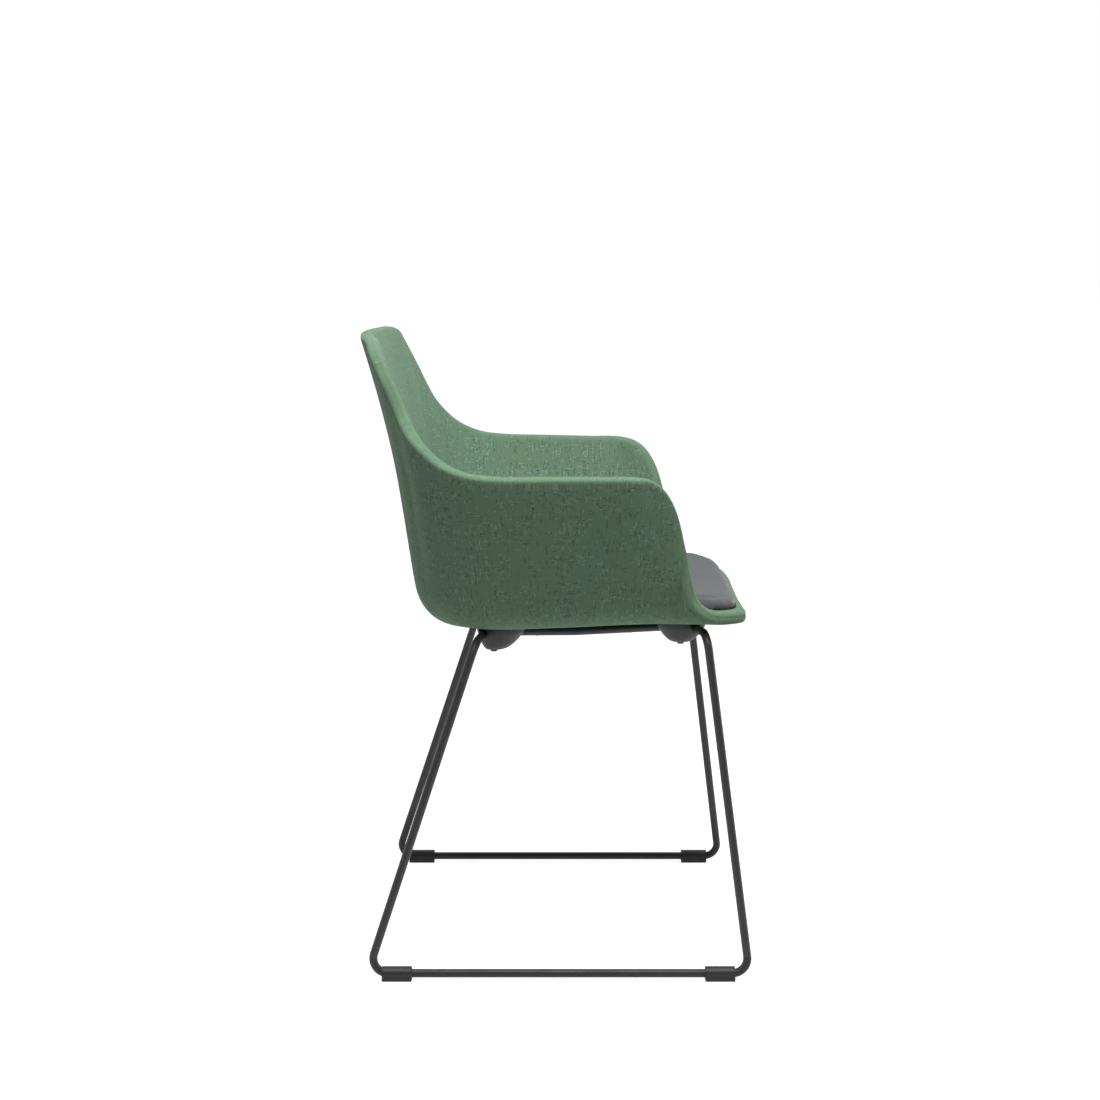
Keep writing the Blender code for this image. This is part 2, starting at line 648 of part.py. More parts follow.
def build_frames():
    """Both side frames, and the grown rods that make room for them in other pieces."""
    frames = {}
    rooms = {}
    for word, side in (("right", -1), ("left", 1)):
        frames[side] = sweep(word + "_side_frame", frame_path(side), circle(ROD_DIA / 2),
                             Vector((1, 0, 0)), True, "black_powder")
        room = sweep("rod_room_" + word, frame_path(side), circle(ROD_DIA / 2 + GAP),
                     Vector((1, 0, 0)), True, "black_powder")
        rooms[side] = as_cutter(room)
    return frames, rooms


def build_cross_bar(name, y, rooms):
    """A bar between the rails, bowed down, coped to fit round the rods."""
    right = rail_point(-1, y)
    left = rail_point(1, y)
    low = Vector((0, 0, -BAR_DIP))
    corners = [right, right.lerp(left, (1 - BAR_FLAT_SHARE) / 2) + low,
               left.lerp(right, (1 - BAR_FLAT_SHARE) / 2) + low, left]
    path = rounded_path(corners, [RAIL_BEND_RADIUS] * len(corners), closed=False)
    bar = sweep(name, path, circle(BAR_DIA / 2), Vector((0, 1, 0)), False, "black_powder")
    for room in rooms.values():
        cut(bar, room)


def channel_cutter(word, side):
    """Groove that lets a mount be pressed up over the rod, open to the top."""
    radius = (ROD_DIA / 2 + GAP) / math.cos(math.pi / ROD_SIDES)
    profile = [(a, b) for a, b in circle(radius) if b < 0]
    half_width = max(a for a, b in profile)
    profile = [(-half_width, SHELL_THICK)] + profile + [(half_width, SHELL_THICK)]
    feet = BEND_STEPS + 1
    path = frame_path(side)[feet:-feet]
    rings = []
    for i, point in enumerate(path):
        before = path[max(i - 1, 0)]
        after = path[min(i + 1, len(path) - 1)]
        forward = (after - before).normalized()
        across = forward.cross(Vector((0, 0, 1))).normalized()
        up = across.cross(forward)
        rings.append([point + across * a + up * b for a, b in profile])
    vertices, faces = skin_rings(rings)
    size = len(profile)
    faces.append(tuple(range(size)))
    faces.append(tuple(range(len(vertices) - size, len(vertices))))
    return as_cutter(make_object("channel_" + word, vertices, faces, "black_powder"))


def screw_places():
    """Name, side, mount middle, lowest face and screw place of the four mounts."""
    for end, y, z_low, screw_y in (("front", FRONT_DOME_Y, FRONT_DOME_Z, FRONT_SCREW_Y),
                                   ("back", BACK_DOME_Y, BACK_DOME_Z, BACK_SCREW_Y)):
        for word, side in (("right", -1), ("left", 1)):
            yield end + "_" + word, side, y, z_low, screw_y


def build_mounts(tub, channels):
    """Domed mounts: seated on the shell, grooved for the rod, bored for a screw."""
    for name, side, y, z_low, screw_y in screw_places():
        x = side * DOME_X
        screw_x = side * SCREW_X
        skirt_z = floor_z(DOME_X, y) - SHELL_THICK / 2 - DOME_SKIRT_DROP
        rings = [[(screw_x, screw_y, z_low)]]
        for rise in (0.0, *DOME_RINGS):
            share = between(DOME_FLAT_SHARE, 1.0, rise)
            centre_x = between(screw_x, x, rise)
            centre_y = between(screw_y, y, rise)
            z = between(z_low, skirt_z, rise ** DOME_POWER)
            ring = []
            for k in range(DOME_SIDES):
                turn = 2 * math.pi * k / DOME_SIDES
                ring.append((centre_x + DOME_HALF_WIDTH * share * math.cos(turn),
                             centre_y + DOME_HALF_LENGTH * share * math.sin(turn), z))
            rings.append(ring)
        top_z = skirt_z + DOME_BLANK_RISE
        rings.append([(p[0], p[1], top_z) for p in rings[-1]])
        rings.append([(x, y, top_z)])
        vertices, faces = skin_rings(rings)
        mount = make_object("mount_" + name, vertices, faces, "black_plastic")
        cut(mount, tub)
        cut(mount, channels[side])
        bore = drill(screw_x, screw_y, z_low - SHELL_THICK, top_z + SHELL_THICK,
                     SCREW_DIA + 2 * BORE_PLAY, "mount_bore_" + name)
        cut(mount, bore)


def fixing_heights(tree, x, y):
    """Lower and upper end of an insert that stays between the core's two faces."""
    low = []
    high = []
    for k in range(ROUND_SIDES):
        angle = 2 * math.pi * k / ROUND_SIDES
        spot_x = x + INSERT_FLANGE_DIA / 2 * math.cos(angle)
        spot_y = y + INSERT_FLANGE_DIA / 2 * math.sin(angle)
        low.append(tree.ray_cast(Vector((spot_x, spot_y, 0)), Vector((0, 0, 1)))[0].z)
        high.append(tree.ray_cast(Vector((spot_x, spot_y, BACK_Z)), Vector((0, 0, -1)))[0].z)
    return max(low), min(high)


def build_fixings(core, cover):
    """Screws up through mount and cover into flanged inserts in the core."""
    tree = BVHTree.FromPolygons([v.co for v in core.data.vertices],
                                [f.vertices for f in core.data.polygons])
    for name, side, y, z_low, screw_y in screw_places():
        x = side * SCREW_X
        insert_low, insert_high = fixing_heights(tree, x, screw_y)
        radius = SCREW_DIA / 2
        head = SCREW_HEAD_DIA / 2
        socket = SCREW_SOCKET_DIA / 2
        under = z_low - GAP
        foot = under - SCREW_HEAD_HEIGHT
        tip = insert_high - GAP
        turned("screw_" + name, (
            (0, foot + SCREW_SOCKET_DEPTH), (socket, foot + SCREW_SOCKET_DEPTH),
            (socket, foot), (head - SCREW_EDGE, foot), (head, foot + SCREW_EDGE),
            (head, under), (radius, under), (radius, tip - SCREW_EDGE),
            (radius - SCREW_EDGE, tip), (0, tip),
        ), x, screw_y, "black_steel")
        cut(cover, drill(x, screw_y, z_low, insert_high, SCREW_DIA + 2 * BORE_PLAY,
                         "cover_bore_" + name))
        build_insert(name, x, screw_y, insert_low, insert_high, core)


def build_insert(name, x, y, low, high, core):
    """Threaded insert with a flange at the core's upper side, and its hole."""
    bore = SCREW_DIA / 2 + BORE_PLAY
    barrel = INSERT_DIA / 2
    flange = INSERT_FLANGE_DIA / 2
    neck = high - INSERT_FLANGE_THICK
    outline = ((bore, low), (barrel, low), (barrel, neck), (flange, neck),
               (flange, high), (bore, high))
    rings = []
    for radius, z in outline:
        rings.append([(x + radius * math.cos(2 * math.pi * k / ROUND_SIDES),
                       y + radius * math.sin(2 * math.pi * k / ROUND_SIDES), z)
                      for k in range(ROUND_SIDES)])
    vertices, faces = skin_rings(rings, loop=True)
    make_object("insert_" + name, vertices, faces, "zinc_steel")
    hole = ((0, low - CORE_THICK), (barrel + GAP, low - CORE_THICK),
            (barrel + GAP, neck - GAP), (flange + GAP, neck - GAP),
            (flange + GAP, high + CORE_THICK), (0, high + CORE_THICK))
    cut(core, as_cutter(turned("insert_hole_" + name, hole, x, y, "zinc_steel")))


def build_gliders(frames, rooms):
    """Clips over the runners, slotted and flat underneath, each locked by a pin."""
    outer = ROD_DIA / 2 + GLIDER_WALL
    slot = GLIDER_SLOT / 2
    slot_top = -GLIDER_SLOT_TOP
    chamfer = GLIDER_SOLE_CHAMFER
    profile = [(slot, slot_top), (slot, -RUNNER_Z), (outer - chamfer, -RUNNER_Z),
               (outer, -RUNNER_Z + chamfer)]
    for k in range(GLIDER_ARC_STEPS + 1):
        angle = math.pi * k / GLIDER_ARC_STEPS
        profile.append((outer * math.cos(angle), outer * math.sin(angle)))
    profile += [(-outer, -RUNNER_Z + chamfer), (-outer + chamfer, -RUNNER_Z),
                (-slot, -RUNNER_Z), (-slot, slot_top)]
    for end, y in (("front", GLIDER_FRONT_Y), ("back", GLIDER_BACK_Y)):
        for word, side in (("right", -1), ("left", 1)):
            name = end + "_" + word
            x = side * RUNNER_HALF_WIDTH
            path = [Vector((x, y - GLIDER_LENGTH / 2, RUNNER_Z)),
                    Vector((x, y + GLIDER_LENGTH / 2, RUNNER_Z))]
            glider = sweep("glider_" + name, path, profile, Vector((1, 0, 0)), False,
                           "black_plastic")
            cut(glider, rooms[side])
            top = RUNNER_Z - ROD_DIA / 2 + PIN_DEPTH
            radius = PIN_DIA / 2
            turned("glider_pin_" + name, (
                (0, PIN_FOOT_Z), (radius, PIN_FOOT_Z), (radius, top), (0, top),
            ), x, y, "black_steel")
            cut(frames[side], drill(x, y, PIN_FOOT_Z, top + GAP,
                                    PIN_DIA + 2 * BORE_PLAY, "pin_hole_" + name))


def main():
    clear_scene()
    core = build_core()
    outer_cover = build_cover("outer_upholstery", 1)
    build_cover("inner_upholstery", -1)
    build_pad()
    frames, rooms = build_frames()
    build_cross_bar("front_cross_bar", FRONT_BAR_Y, rooms)
    build_cross_bar("back_cross_bar", BACK_BAR_Y, rooms)
    channels = {-1: channel_cutter("right", -1), 1: channel_cutter("left", 1)}
    build_mounts(tub_cutter(), channels)
    build_fixings(core, outer_cover)
    build_gliders(frames, rooms)


if __name__ == "__main__":
    main()
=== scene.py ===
"""Upholstered bucket armchair on a sled base: the smooth pieces, cloth and finishes."""
import json
import math

import bmesh
import bpy
import numpy as np
from mathutils import Matrix, Vector


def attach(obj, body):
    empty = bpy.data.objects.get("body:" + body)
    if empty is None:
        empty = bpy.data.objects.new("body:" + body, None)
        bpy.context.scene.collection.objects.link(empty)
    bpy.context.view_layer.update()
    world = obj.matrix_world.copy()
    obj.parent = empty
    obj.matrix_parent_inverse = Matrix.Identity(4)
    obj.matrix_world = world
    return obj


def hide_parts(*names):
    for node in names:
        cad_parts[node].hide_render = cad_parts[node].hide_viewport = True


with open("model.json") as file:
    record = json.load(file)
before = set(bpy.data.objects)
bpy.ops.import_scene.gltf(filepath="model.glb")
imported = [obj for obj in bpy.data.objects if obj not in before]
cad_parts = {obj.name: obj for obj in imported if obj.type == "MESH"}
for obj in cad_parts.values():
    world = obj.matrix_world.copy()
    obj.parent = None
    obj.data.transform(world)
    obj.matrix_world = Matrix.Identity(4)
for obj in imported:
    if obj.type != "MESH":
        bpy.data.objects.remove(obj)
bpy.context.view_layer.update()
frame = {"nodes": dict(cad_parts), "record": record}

# View: where the camera stands, in metres, and how far it looks down
CAMERA_PLACE = (-2.9041, -0.0025, 0.9583)
CAMERA_DOWN = math.radians(8.397)
CAMERA_LENS = 68.73
CAMERA_SENSOR = 36
CAMERA_SHIFT = -4 / 1100

# Bucket shell: middle of its wall
FLOOR_HALF_WIDTH = 0.205      # where the side walls would meet the floor
FLOOR_Z = 0.4515              # floor of the bucket at the origin
SHELL_THICK = 0.019
FLOOR_SLOPE = -0.0245         # the floor falls towards the back
DISH_DEPTH = 0.01366          # rise of the dished floor at FLOOR_HALF_WIDTH
FLOOR_BACK_Y = 0.174
FLOOR_TURN_Y = 0.075          # the plan outline starts to turn round the back here
FLOOR_CORNER_POWER = 0.667
FILLET_REACH = 0.052          # how far floor and wall are blended, each way
BLEND_LIMIT = 0.8
HUB_Y = -0.040                # all sections of the shell start at this point

# Bucket shell: rim line, at the centre of the rim's half round
LIP_Y = -0.2511
LIP_HALF_WIDTH = 0.2155
LIP_SIDE_Y = -0.2081
LIP_SIDE_RISE = 0.001
ARM_Z = 0.6530
ARM_FRONT_HALF_WIDTH = 0.2755
ARM_FRONT_Y = -0.1098
ARM_HALF_WIDTH = 0.2935
ARM_RISE = 0.0037
BACK_Z = 0.8270
BACK_Y = 0.2514
BACK_CORNER_HALF_WIDTH = 0.178
BACK_CORNER_Y = 0.2305
BACK_CORNER_DROP = 0.0049
SIDE_BULGE = 0.004
BACK_BULGE = -0.011
BACK_WALL_START = 0.5

# Rim line between landmarks: share of the way in x, y and z, and the turn of the
# floor outline round the back in degrees.
LIP_SHAPE = ((0.00, 0.000), (0.42, 0.010), (0.70, 0.060), (0.85, 0.218), (0.951, 0.600))
ARM_FRONT_SHAPE = (
    (0.000, 0.000, 0.000), (0.020, 0.145, 0.033), (0.036, 0.280, 0.108),
    (0.050, 0.350, 0.222), (0.072, 0.398, 0.345), (0.175, 0.471, 0.490),
    (0.347, 0.521, 0.607), (0.622, 0.654, 0.845), (0.750, 0.769, 0.940),
    (0.873, 0.900, 0.986),
)
ARM_TOP_SHAPE = ((0.00, 0.000, 0.00), (0.31, 0.297, 0.41), (0.69, 0.675, 0.70))
BACK_SWEEP_SHAPE = (
    (0.000, 0.000, 0.000, 0), (0.013, 0.206, 0.023, 8), (0.065, 0.365, 0.077, 15),
    (0.147, 0.479, 0.143, 21), (0.257, 0.617, 0.268, 28), (0.369, 0.682, 0.354, 33),
    (0.476, 0.732, 0.441, 38), (0.554, 0.792, 0.563, 43), (0.622, 0.878, 0.739, 49),
    (0.701, 0.930, 0.841, 53), (0.827, 0.981, 0.953, 57),
)
BACK_TOP_SHAPE = ((0.000, 0.000, 0.00, 61), (0.157, 0.311, 0.67, 66),
                  (0.522, 0.742, 0.90, 78), (1.000, 1.000, 1.00, 90))

# Fineness of the shell
RIM_STEP = 0.012
SECTION_STEPS = 16
FLOOR_RINGS = 6
BLEND_RINGS = 6
WALL_RINGS = 10
RIM_TURNS = (0.125, 0.25, 0.375, 0.468, 0.5, 0.532, 0.625, 0.75, 0.875)
RIM_SQUARE = 0.55             # the rim's outer edge is tighter than a half round
SEAM_DEPTH = 0.0007           # the covers meet in a shallow valley at the rim's middle
EVENING = (0.5, -0.52)        # the rings are drawn smooth, then let out again
EVENING_PASSES = 8
WALL_STEEP = 1.08             # length of cloth up the wall for each length of height
WALL_BEGINS = (0.02, 0.08)    # rim heights over which the cloth turns from lip to wall
CALM_POWER = 0.5              # how soon the cloth's marks calm down over the rim

# Foam in the outer cover: under the side corners, and behind the small of the back
BELLY = 0.0050                # the most that it hangs lower
BELLY_X = (0.150, 0.188)      # half widths between which it sets in
BELLY_HEIGHT = 0.13           # it thins out up to this height over the floor
BELLY_Y = 0.012               # its middle, then its full and its fading part
BELLY_FLAT = 0.022
BELLY_FADE = 0.125
BACK_SWELL = 0.0024           # the most that it stands further back
BACK_SWELL_Z = 0.560
BACK_SWELL_REACH = 0.130      # above and below its middle
BACK_SWELL_FACING = (0.3, 0.9)  # how squarely the wall has to face the back

# Rods
ROD_RADIUS = 0.0055
ROD_SIDES = 24
RUNNER_HALF_WIDTH = 0.2652
RUNNER_Z = 0.0088
RUNNER_FRONT_Y = -0.2582
RUNNER_BACK_Y = 0.2414
LEG_TOP_FRONT = (0.2140, -0.2016, 0.4503)
LEG_TOP_BACK = (0.2140, 0.0992, 0.4395)
RAIL_FRONT = (0.118, -0.186, 0.4443)
RAIL_MIDDLE = (0.119, -0.030, 0.4365)
RAIL_BACK = (0.122, 0.090, 0.4363)
FOOT_BEND = 0.0195
TOP_BEND = 0.024
RAIL_BEND = 0.028
BEND_STEPS = 10
BAR_RADIUS = 0.005
BAR_DIP = 0.0045
BAR_FLAT_SHARE = 0.45
BEAD_RADIUS = 0.0010          # weld beads at the bars' ends
BEAD_SIDES = (48, 10)         # along the bead and round it
BEAD_RIPPLES = 9
BEAD_RIPPLE = 0.10
ROD_GAP = 0.02                # of the runner, left for the closing faces
BAR_PLACES = {"front_cross_bar": -0.105, "back_cross_bar": 0.020}

# Domed mounts and their screws
DOME_X = 0.134
DOME_HALF_LENGTH = 0.0320
DOME_HALF_WIDTH = 0.0270
DOME_SKIRT_DROP = 0.0050
DOME_RINGS = 14
DOME_SIDES = 64
DOME_POWER = 1.95
DOME_FLAT_SHARE = 0.28
MOUNT_PLAY = 0.0005           # dark line round the rod in its groove
MOUNT_LET_IN = 0.002          # how far the mounts go into the cover
ROOM_UPWARD = 0.3             # what faces up this much opens the groove to the top
SCREW_X = 0.140
MOUNT_PLACES = {"front": (-0.1730, 0.4268, -0.1718), "back": (0.0685, 0.4164, 0.0780)}
SCREW_HEAD_RADIUS = 0.0045
SCREW_HEAD_HEIGHT = 0.0025
SCREW_SOCKET_RADIUS = 0.002
SCREW_SOCKET_DEPTH = 0.0015
SCREW_SHANK_RADIUS = 0.003
SCREW_SHANK_LENGTH = 0.018
SCREW_SEAT = 0.0003           # space between head and mount

# Gliders
GLIDER_LENGTH = 0.039
GLIDER_PLAY = 0.0002          # round the rod
GLIDER_WALL = 0.0037
GLIDER_PLACES = {"front": -0.2198, "back": 0.2030}
GLIDER_SLOT = 0.0044
GLIDER_TOE = 0.0028           # rounding of the sole's ends
GLIDER_LINE_Z = -0.0036       # line between clip and sole
GLIDER_LINE = (0.0008, 0.0005)  # its width across both sides, and its height
STEEP_TURN = 1.55             # just short of a right angle
NEAR = 0.001                  # places this close count as level

# Working values
ROUND_SIDES = 48
MERGE = 1e-6
SHARP = 35                    # degrees between faces that stay a visible edge
MOUNT_EDGE = (0.0005, 2, 38)  # width and steps of a rounding, and the degrees it needs
SCREW_EDGE = (0.0003, 3, 40)
GLIDER_EDGE = (0.0008, 3, 50)

# Seat cushion
CUSHION_VOXEL = 0.0036
CUSHION_FRAMES = 20
CUSHION_PRESSURE = 6
CUSHION_SWELL = 0.0060        # most that a point may move
CUSHION_GAP = 0.0003          # from the shell's cloth
CUSHION_NEAR = 0.03           # how far a point looks for the cloth
CUSHION_SMOOTHING = (1, 3)    # times, before and after it is blown up

# Cloth
THREAD = 0.0014               # pitch of the slub threads that show as flecks
THREAD_STEP = 5.37            # from one thread to the next in the noise
WEAVE = 0.0009                # pitch of the plain weave
PATCH_SCALE = 30.0            # patches with more and with fewer marks
PATCH_REACH = (0.05, -0.04)
RIM_CALM = 0.6                # share of the marks that the rim loses
# A thread's marks: their length, their seed, and the noise at which they start and are full
DARK_WARP = (0.0120, 3.1, 0.68, 0.71)
DARK_WEFT = (0.0085, 41.7, 0.71, 0.74)
LIGHT_WARP = (0.0110, 83.3, 0.70, 0.73)
LIGHT_WEFT = (0.0095, 127.9, 0.71, 0.74)
STREAK = (0.0300, 211.3, 0.25, 0.75)

# Colours
GREEN = (0.127, 0.209, 0.125, 1)
COOL_GREEN = (0.119, 0.204, 0.147, 1)
DEEP_GREEN = (0.103, 0.175, 0.109, 1)
DARK_MARK = (0.048, 0.088, 0.058, 1)
LIGHT_MARK = (0.255, 0.365, 0.270, 1)
GREEN_SHEEN = (0.62, 0.95, 0.70, 1.0)
GREY = (0.062, 0.068, 0.069, 1)
PALE_GREY = (0.084, 0.091, 0.091, 1)
SOFT_GREY = (0.086, 0.090, 0.094, 1)

# Hard finishes: colours and the scale of their clouding, roughness and the scale of its
# change, and the strength and scale of the relief
HARD_FINISHES = {
    "black_powder": {
        "roughness": 0.5, "specular": 0.4,
        "colours": ((0.018, 0.018, 0.019, 1), (0.027, 0.027, 0.028, 1)),
        "clouding": 1600.0, "gloss": (0.44, 0.53, 30.0), "relief": (0.10, 1600.0)},
    "black_plastic": {
        "roughness": 0.45, "specular": 0.4,
        "colours": ((0.017, 0.017, 0.018, 1), (0.024, 0.024, 0.025, 1)),
        "clouding": 60.0, "gloss": (0.42, 0.58, 1100.0), "relief": (0.12, 1100.0)},
    "black_steel": {
        "roughness": 0.4, "metallic": 1.0,
        "colours": ((0.030, 0.030, 0.032, 1), (0.060, 0.058, 0.056, 1)),
        "clouding": 400.0, "gloss": (0.32, 0.48, 400.0)},
    "zinc_steel": {
        "roughness": 0.38, "metallic": 1.0,
        "colours": ((0.48, 0.48, 0.50, 1), (0.58, 0.58, 0.60, 1)),
        "clouding": 500.0, "gloss": (0.30, 0.45, 500.0)},
    "shell_core": {
        "roughness": 0.55, "colours": ((0.030, 0.030, 0.032, 1), (0.040, 0.040, 0.042, 1)),
        "clouding": 700.0, "relief": (0.1, 700.0)},
}

# Light
SKY_LOW = 0.15                # soft light from the horizon
SKY_HIGH = 0.44               # soft light from above
SKY_TOP = 0.9                 # height in the sky from which it is as bright as above
SKY_CAMERA_SHARE = 0.12       # share of it that comes from the camera's side
SKY_SIDES = (-0.9, 0.4)       # the sky brightens from the camera's side between these
DARK_REFLECTION = 0.16        # of the camera's side in gloss
MIRRORED_SIDES = (-0.85, 0.35)
FLOOR_SIZE = 60
FLOOR_GREY = 0.42
FLOOR_GLOW = 0.88             # keeps the floor white to the camera
SOFTBOXES = {                 # place, aim, size and watts
    "overhead_light": ((-0.68, -0.05, 2.4), (0, 0, 0.5), (0.7, 2.2), 71),
    "front_light": ((0.0, -2.6, 0.9), (0, 0, 0.5), (1.2, 1.4), 11),
    "back_light": ((-0.9, 2.6, 0.9), (0, 0, 0.6), (1.2, 1.2), 5),
    "under_light": ((-0.15, -0.08, 0.03), (-0.15, -0.08, 1.0), (0.7, 0.9), 0.8),
}

SIDES = {"right": -1, "left": 1}


def between(a, b, share):
    return a + (b - a) * share


def ease(low, high, value):
    """0 below low, 1 above high, smooth between."""
    t = min(max((value - low) / (high - low), 0.0), 1.0)
    return t * t * (3 - 2 * t)


# ---- Shell ----

def floor_z(x, y):
    """Height of the middle of the dished floor."""
    return FLOOR_Z + FLOOR_SLOPE * y + DISH_DEPTH * (x / FLOOR_HALF_WIDTH) ** 2


def rear_corner(turn):
    """Point of the floor outline at a turn of 0 (side) to 90 degrees (back)."""
    c = math.cos(math.radians(turn)) ** FLOOR_CORNER_POWER
    s = math.sin(math.radians(turn)) ** FLOOR_CORNER_POWER
    return (FLOOR_HALF_WIDTH * c, between(FLOOR_TURN_Y, FLOOR_BACK_Y, s))


def wall_bulge(turn):
    """How far the wall swells out, or in behind the back, at a turn of the outline."""
    share = math.sin(math.radians(turn)) ** 2
    return between(SIDE_BULGE, BACK_BULGE, min(share / BACK_WALL_START, 1.0))


def half_rim():
    """Rim centre, floor corner and wall swell from the lip's middle to the back's."""
    rows = []
    lip_side_z = floor_z(LIP_HALF_WIDTH, LIP_SIDE_Y) + LIP_SIDE_RISE
    arm_back_z = ARM_Z + ARM_RISE
    back_corner_z = BACK_Z - BACK_CORNER_DROP
    for fx, fy in LIP_SHAPE:
        x = LIP_HALF_WIDTH * fx
        y = between(LIP_Y, LIP_SIDE_Y, fy)
        rows.append((x, y, floor_z(x, y), FLOOR_HALF_WIDTH * fx,
                     y + FILLET_REACH * (1 - fx ** 2), 0.0))
    for fx, fy, fz in ARM_FRONT_SHAPE:
        y = between(LIP_SIDE_Y, ARM_FRONT_Y, fy)
        rows.append((between(LIP_HALF_WIDTH, ARM_FRONT_HALF_WIDTH, fx), y,
                     between(lip_side_z, ARM_Z, fz), FLOOR_HALF_WIDTH, y, SIDE_BULGE * fz))
    for fx, fy, fz in ARM_TOP_SHAPE:
        y = between(ARM_FRONT_Y, FLOOR_TURN_Y, fy)
        rows.append((between(ARM_FRONT_HALF_WIDTH, ARM_HALF_WIDTH, fx), y,
                     between(ARM_Z, arm_back_z, fz), FLOOR_HALF_WIDTH, y, SIDE_BULGE))
    for fx, fy, fz, turn in BACK_SWEEP_SHAPE:
        rows.append((between(ARM_HALF_WIDTH, BACK_CORNER_HALF_WIDTH, fx),
                     between(FLOOR_TURN_Y, BACK_CORNER_Y, fy),
                     between(arm_back_z, back_corner_z, fz),
                     *rear_corner(turn), wall_bulge(turn)))
    for fx, fy, fz, turn in BACK_TOP_SHAPE:
        rows.append((between(BACK_CORNER_HALF_WIDTH, 0.0, fx),
                     between(BACK_CORNER_Y, BACK_Y, fy), between(back_corner_z, BACK_Z, fz),
                     *rear_corner(turn), wall_bulge(turn)))
    return np.array(rows)


def smooth_rim():
    """The whole rim as one closed smooth line through its landmarks."""
    half = half_rim()
    rows = np.vstack((half, half[-2:0:-1] * (-1, 1, 1, -1, 1, 1)))
    step = np.linalg.norm(np.roll(rows[:, :3], -1, axis=0) - rows[:, :3], axis=1)[:, None]
    slope = (np.roll(rows, -1, axis=0) - rows) / step
    last_step = np.roll(step, 1, axis=0)
    tangent = (np.roll(slope, 1, axis=0) * step + slope * last_step) / (step + last_step)
    fine = []
    for i, row in enumerate(rows):
        j = (i + 1) % len(rows)
        count = max(2, round(float(step[i, 0]) / RIM_STEP))
        for k in range(count):
            t = k / count
            fine.append(row * (2 * t ** 3 - 3 * t ** 2 + 1)
                        + tangent[i] * step[i] * (t ** 3 - 2 * t ** 2 + t)
                        + rows[j] * (3 * t ** 2 - 2 * t ** 3)
                        + tangent[j] * step[i] * (t ** 3 - t ** 2))
    return np.array(fine)


def section(row):
    """Points along one section, hub to rim, and their lengths from the hub."""
    hub = np.array((0.0, HUB_Y, floor_z(0.0, HUB_Y)))
    rim = row[:3]
    foot_x, foot_y, bulge = row[3:]
    foot = np.array((foot_x, foot_y, floor_z(foot_x, foot_y)))
    run = foot[:2] - hub[:2]
    outward = np.array((*(run / np.linalg.norm(run)), 0.0))
    control = (foot + rim) / 2 + 2 * bulge * outward
    blend_start = foot[:2] - outward[:2] * FILLET_REACH
    share = min(FILLET_REACH / np.linalg.norm(rim - foot), BLEND_LIMIT)

    def wall_point(t):
        return foot * (1 - t) ** 2 + control * 2 * t * (1 - t) + rim * t * t

    points = []
    for i in range(SECTION_STEPS):
        plan = hub[:2] + (blend_start - hub[:2]) * i / SECTION_STEPS
        points.append((*plan, floor_z(*plan)))
    low = np.array((*blend_start, floor_z(*blend_start)))
    high = wall_point(share)
    for i in range(SECTION_STEPS):
        t = i / SECTION_STEPS
        points.append(low * (1 - t) ** 2 + foot * 2 * t * (1 - t) + high * t * t)
    for i in range(SECTION_STEPS + 1):
        points.append(wall_point(share + (1 - share) * i / SECTION_STEPS))
    points = np.array(points)
    steps = np.linalg.norm(np.diff(points, axis=0), axis=1)
    return points, np.concatenate(([0.0], np.cumsum(steps)))


def evened(rings):
    """Take ripples out of the rings without shrinking them."""
    for factor in EVENING * EVENING_PASSES:
        beside = (np.roll(rings, 1, axis=1) + np.roll(rings, -1, axis=1)) / 2
        rings = rings + factor * (beside - rings)
    return rings


def shell_surface():
    """Middle surface ring by ring: points, outward normals, cloth heights, lying share."""
    rim = smooth_rim()
    grid = []
    places = []
    lying = []
    for row in rim:
        points, lengths = section(row)
        floor_end = lengths[SECTION_STEPS]
        blend_end = lengths[2 * SECTION_STEPS]
        end = lengths[-1]
        place = np.concatenate((
            floor_end * np.arange(1, FLOOR_RINGS + 1) / FLOOR_RINGS,
            between(floor_end, blend_end, np.arange(1, BLEND_RINGS + 1) / BLEND_RINGS),
            between(blend_end, end, np.arange(1, WALL_RINGS + 1) / WALL_RINGS)))
        spots = [[np.interp(p, lengths, points[:, i]) for i in range(3)] for p in place]
        grid.append(spots)
        blend_z = np.interp(blend_end, lengths, points[:, 2])
        places.append([WALL_STEEP * spot[2] if p > blend_end
                       else WALL_STEEP * blend_z + p - blend_end
                       for p, spot in zip(place, spots)])
        wall = ease(*WALL_BEGINS, row[2] - floor_z(row[0], row[1]))
        lying.append([1 - wall * ease(floor_end, blend_end, p) for p in place])
    grid = np.array(grid).transpose(1, 0, 2)
    grid[:-2] = evened(grid[:-2])
    hub = np.array((0.0, HUB_Y, floor_z(0.0, HUB_Y)))
    padded = np.concatenate((np.broadcast_to(hub, (1, *grid.shape[1:])), grid))
    up_section = np.gradient(padded, axis=0)[1:]
    round_rim = np.roll(grid, -1, axis=1) - np.roll(grid, 1, axis=1)
    normal = np.cross(round_rim, up_section)
    normal /= np.linalg.norm(normal, axis=2, keepdims=True)
    if normal[0, 0, 2] > 0:
        normal = -normal
    return rim, hub, grid, normal, np.array(places).T, np.array(lying).T


def padded_out(points, out):
    """The outer cover's foam is fuller under the side corners and behind the back."""
    done = []
    for (x, y, z), away in zip(points, out):
        side = ease(*BELLY_X, abs(x))
        low = 1 - ease(0.0, BELLY_HEIGHT, z - floor_z(FLOOR_HALF_WIDTH, y))
        along = 1 - ease(BELLY_FLAT, BELLY_FLAT + BELLY_FADE, abs(y - BELLY_Y))
        back = (ease(*BACK_SWELL_FACING, away[1])
                * (1 - ease(0.0, BACK_SWELL_REACH, abs(z - BACK_SWELL_Z))))
        done.append((x, y + BACK_SWELL * back, z - BELLY * side * low * along))
    return np.array(done)


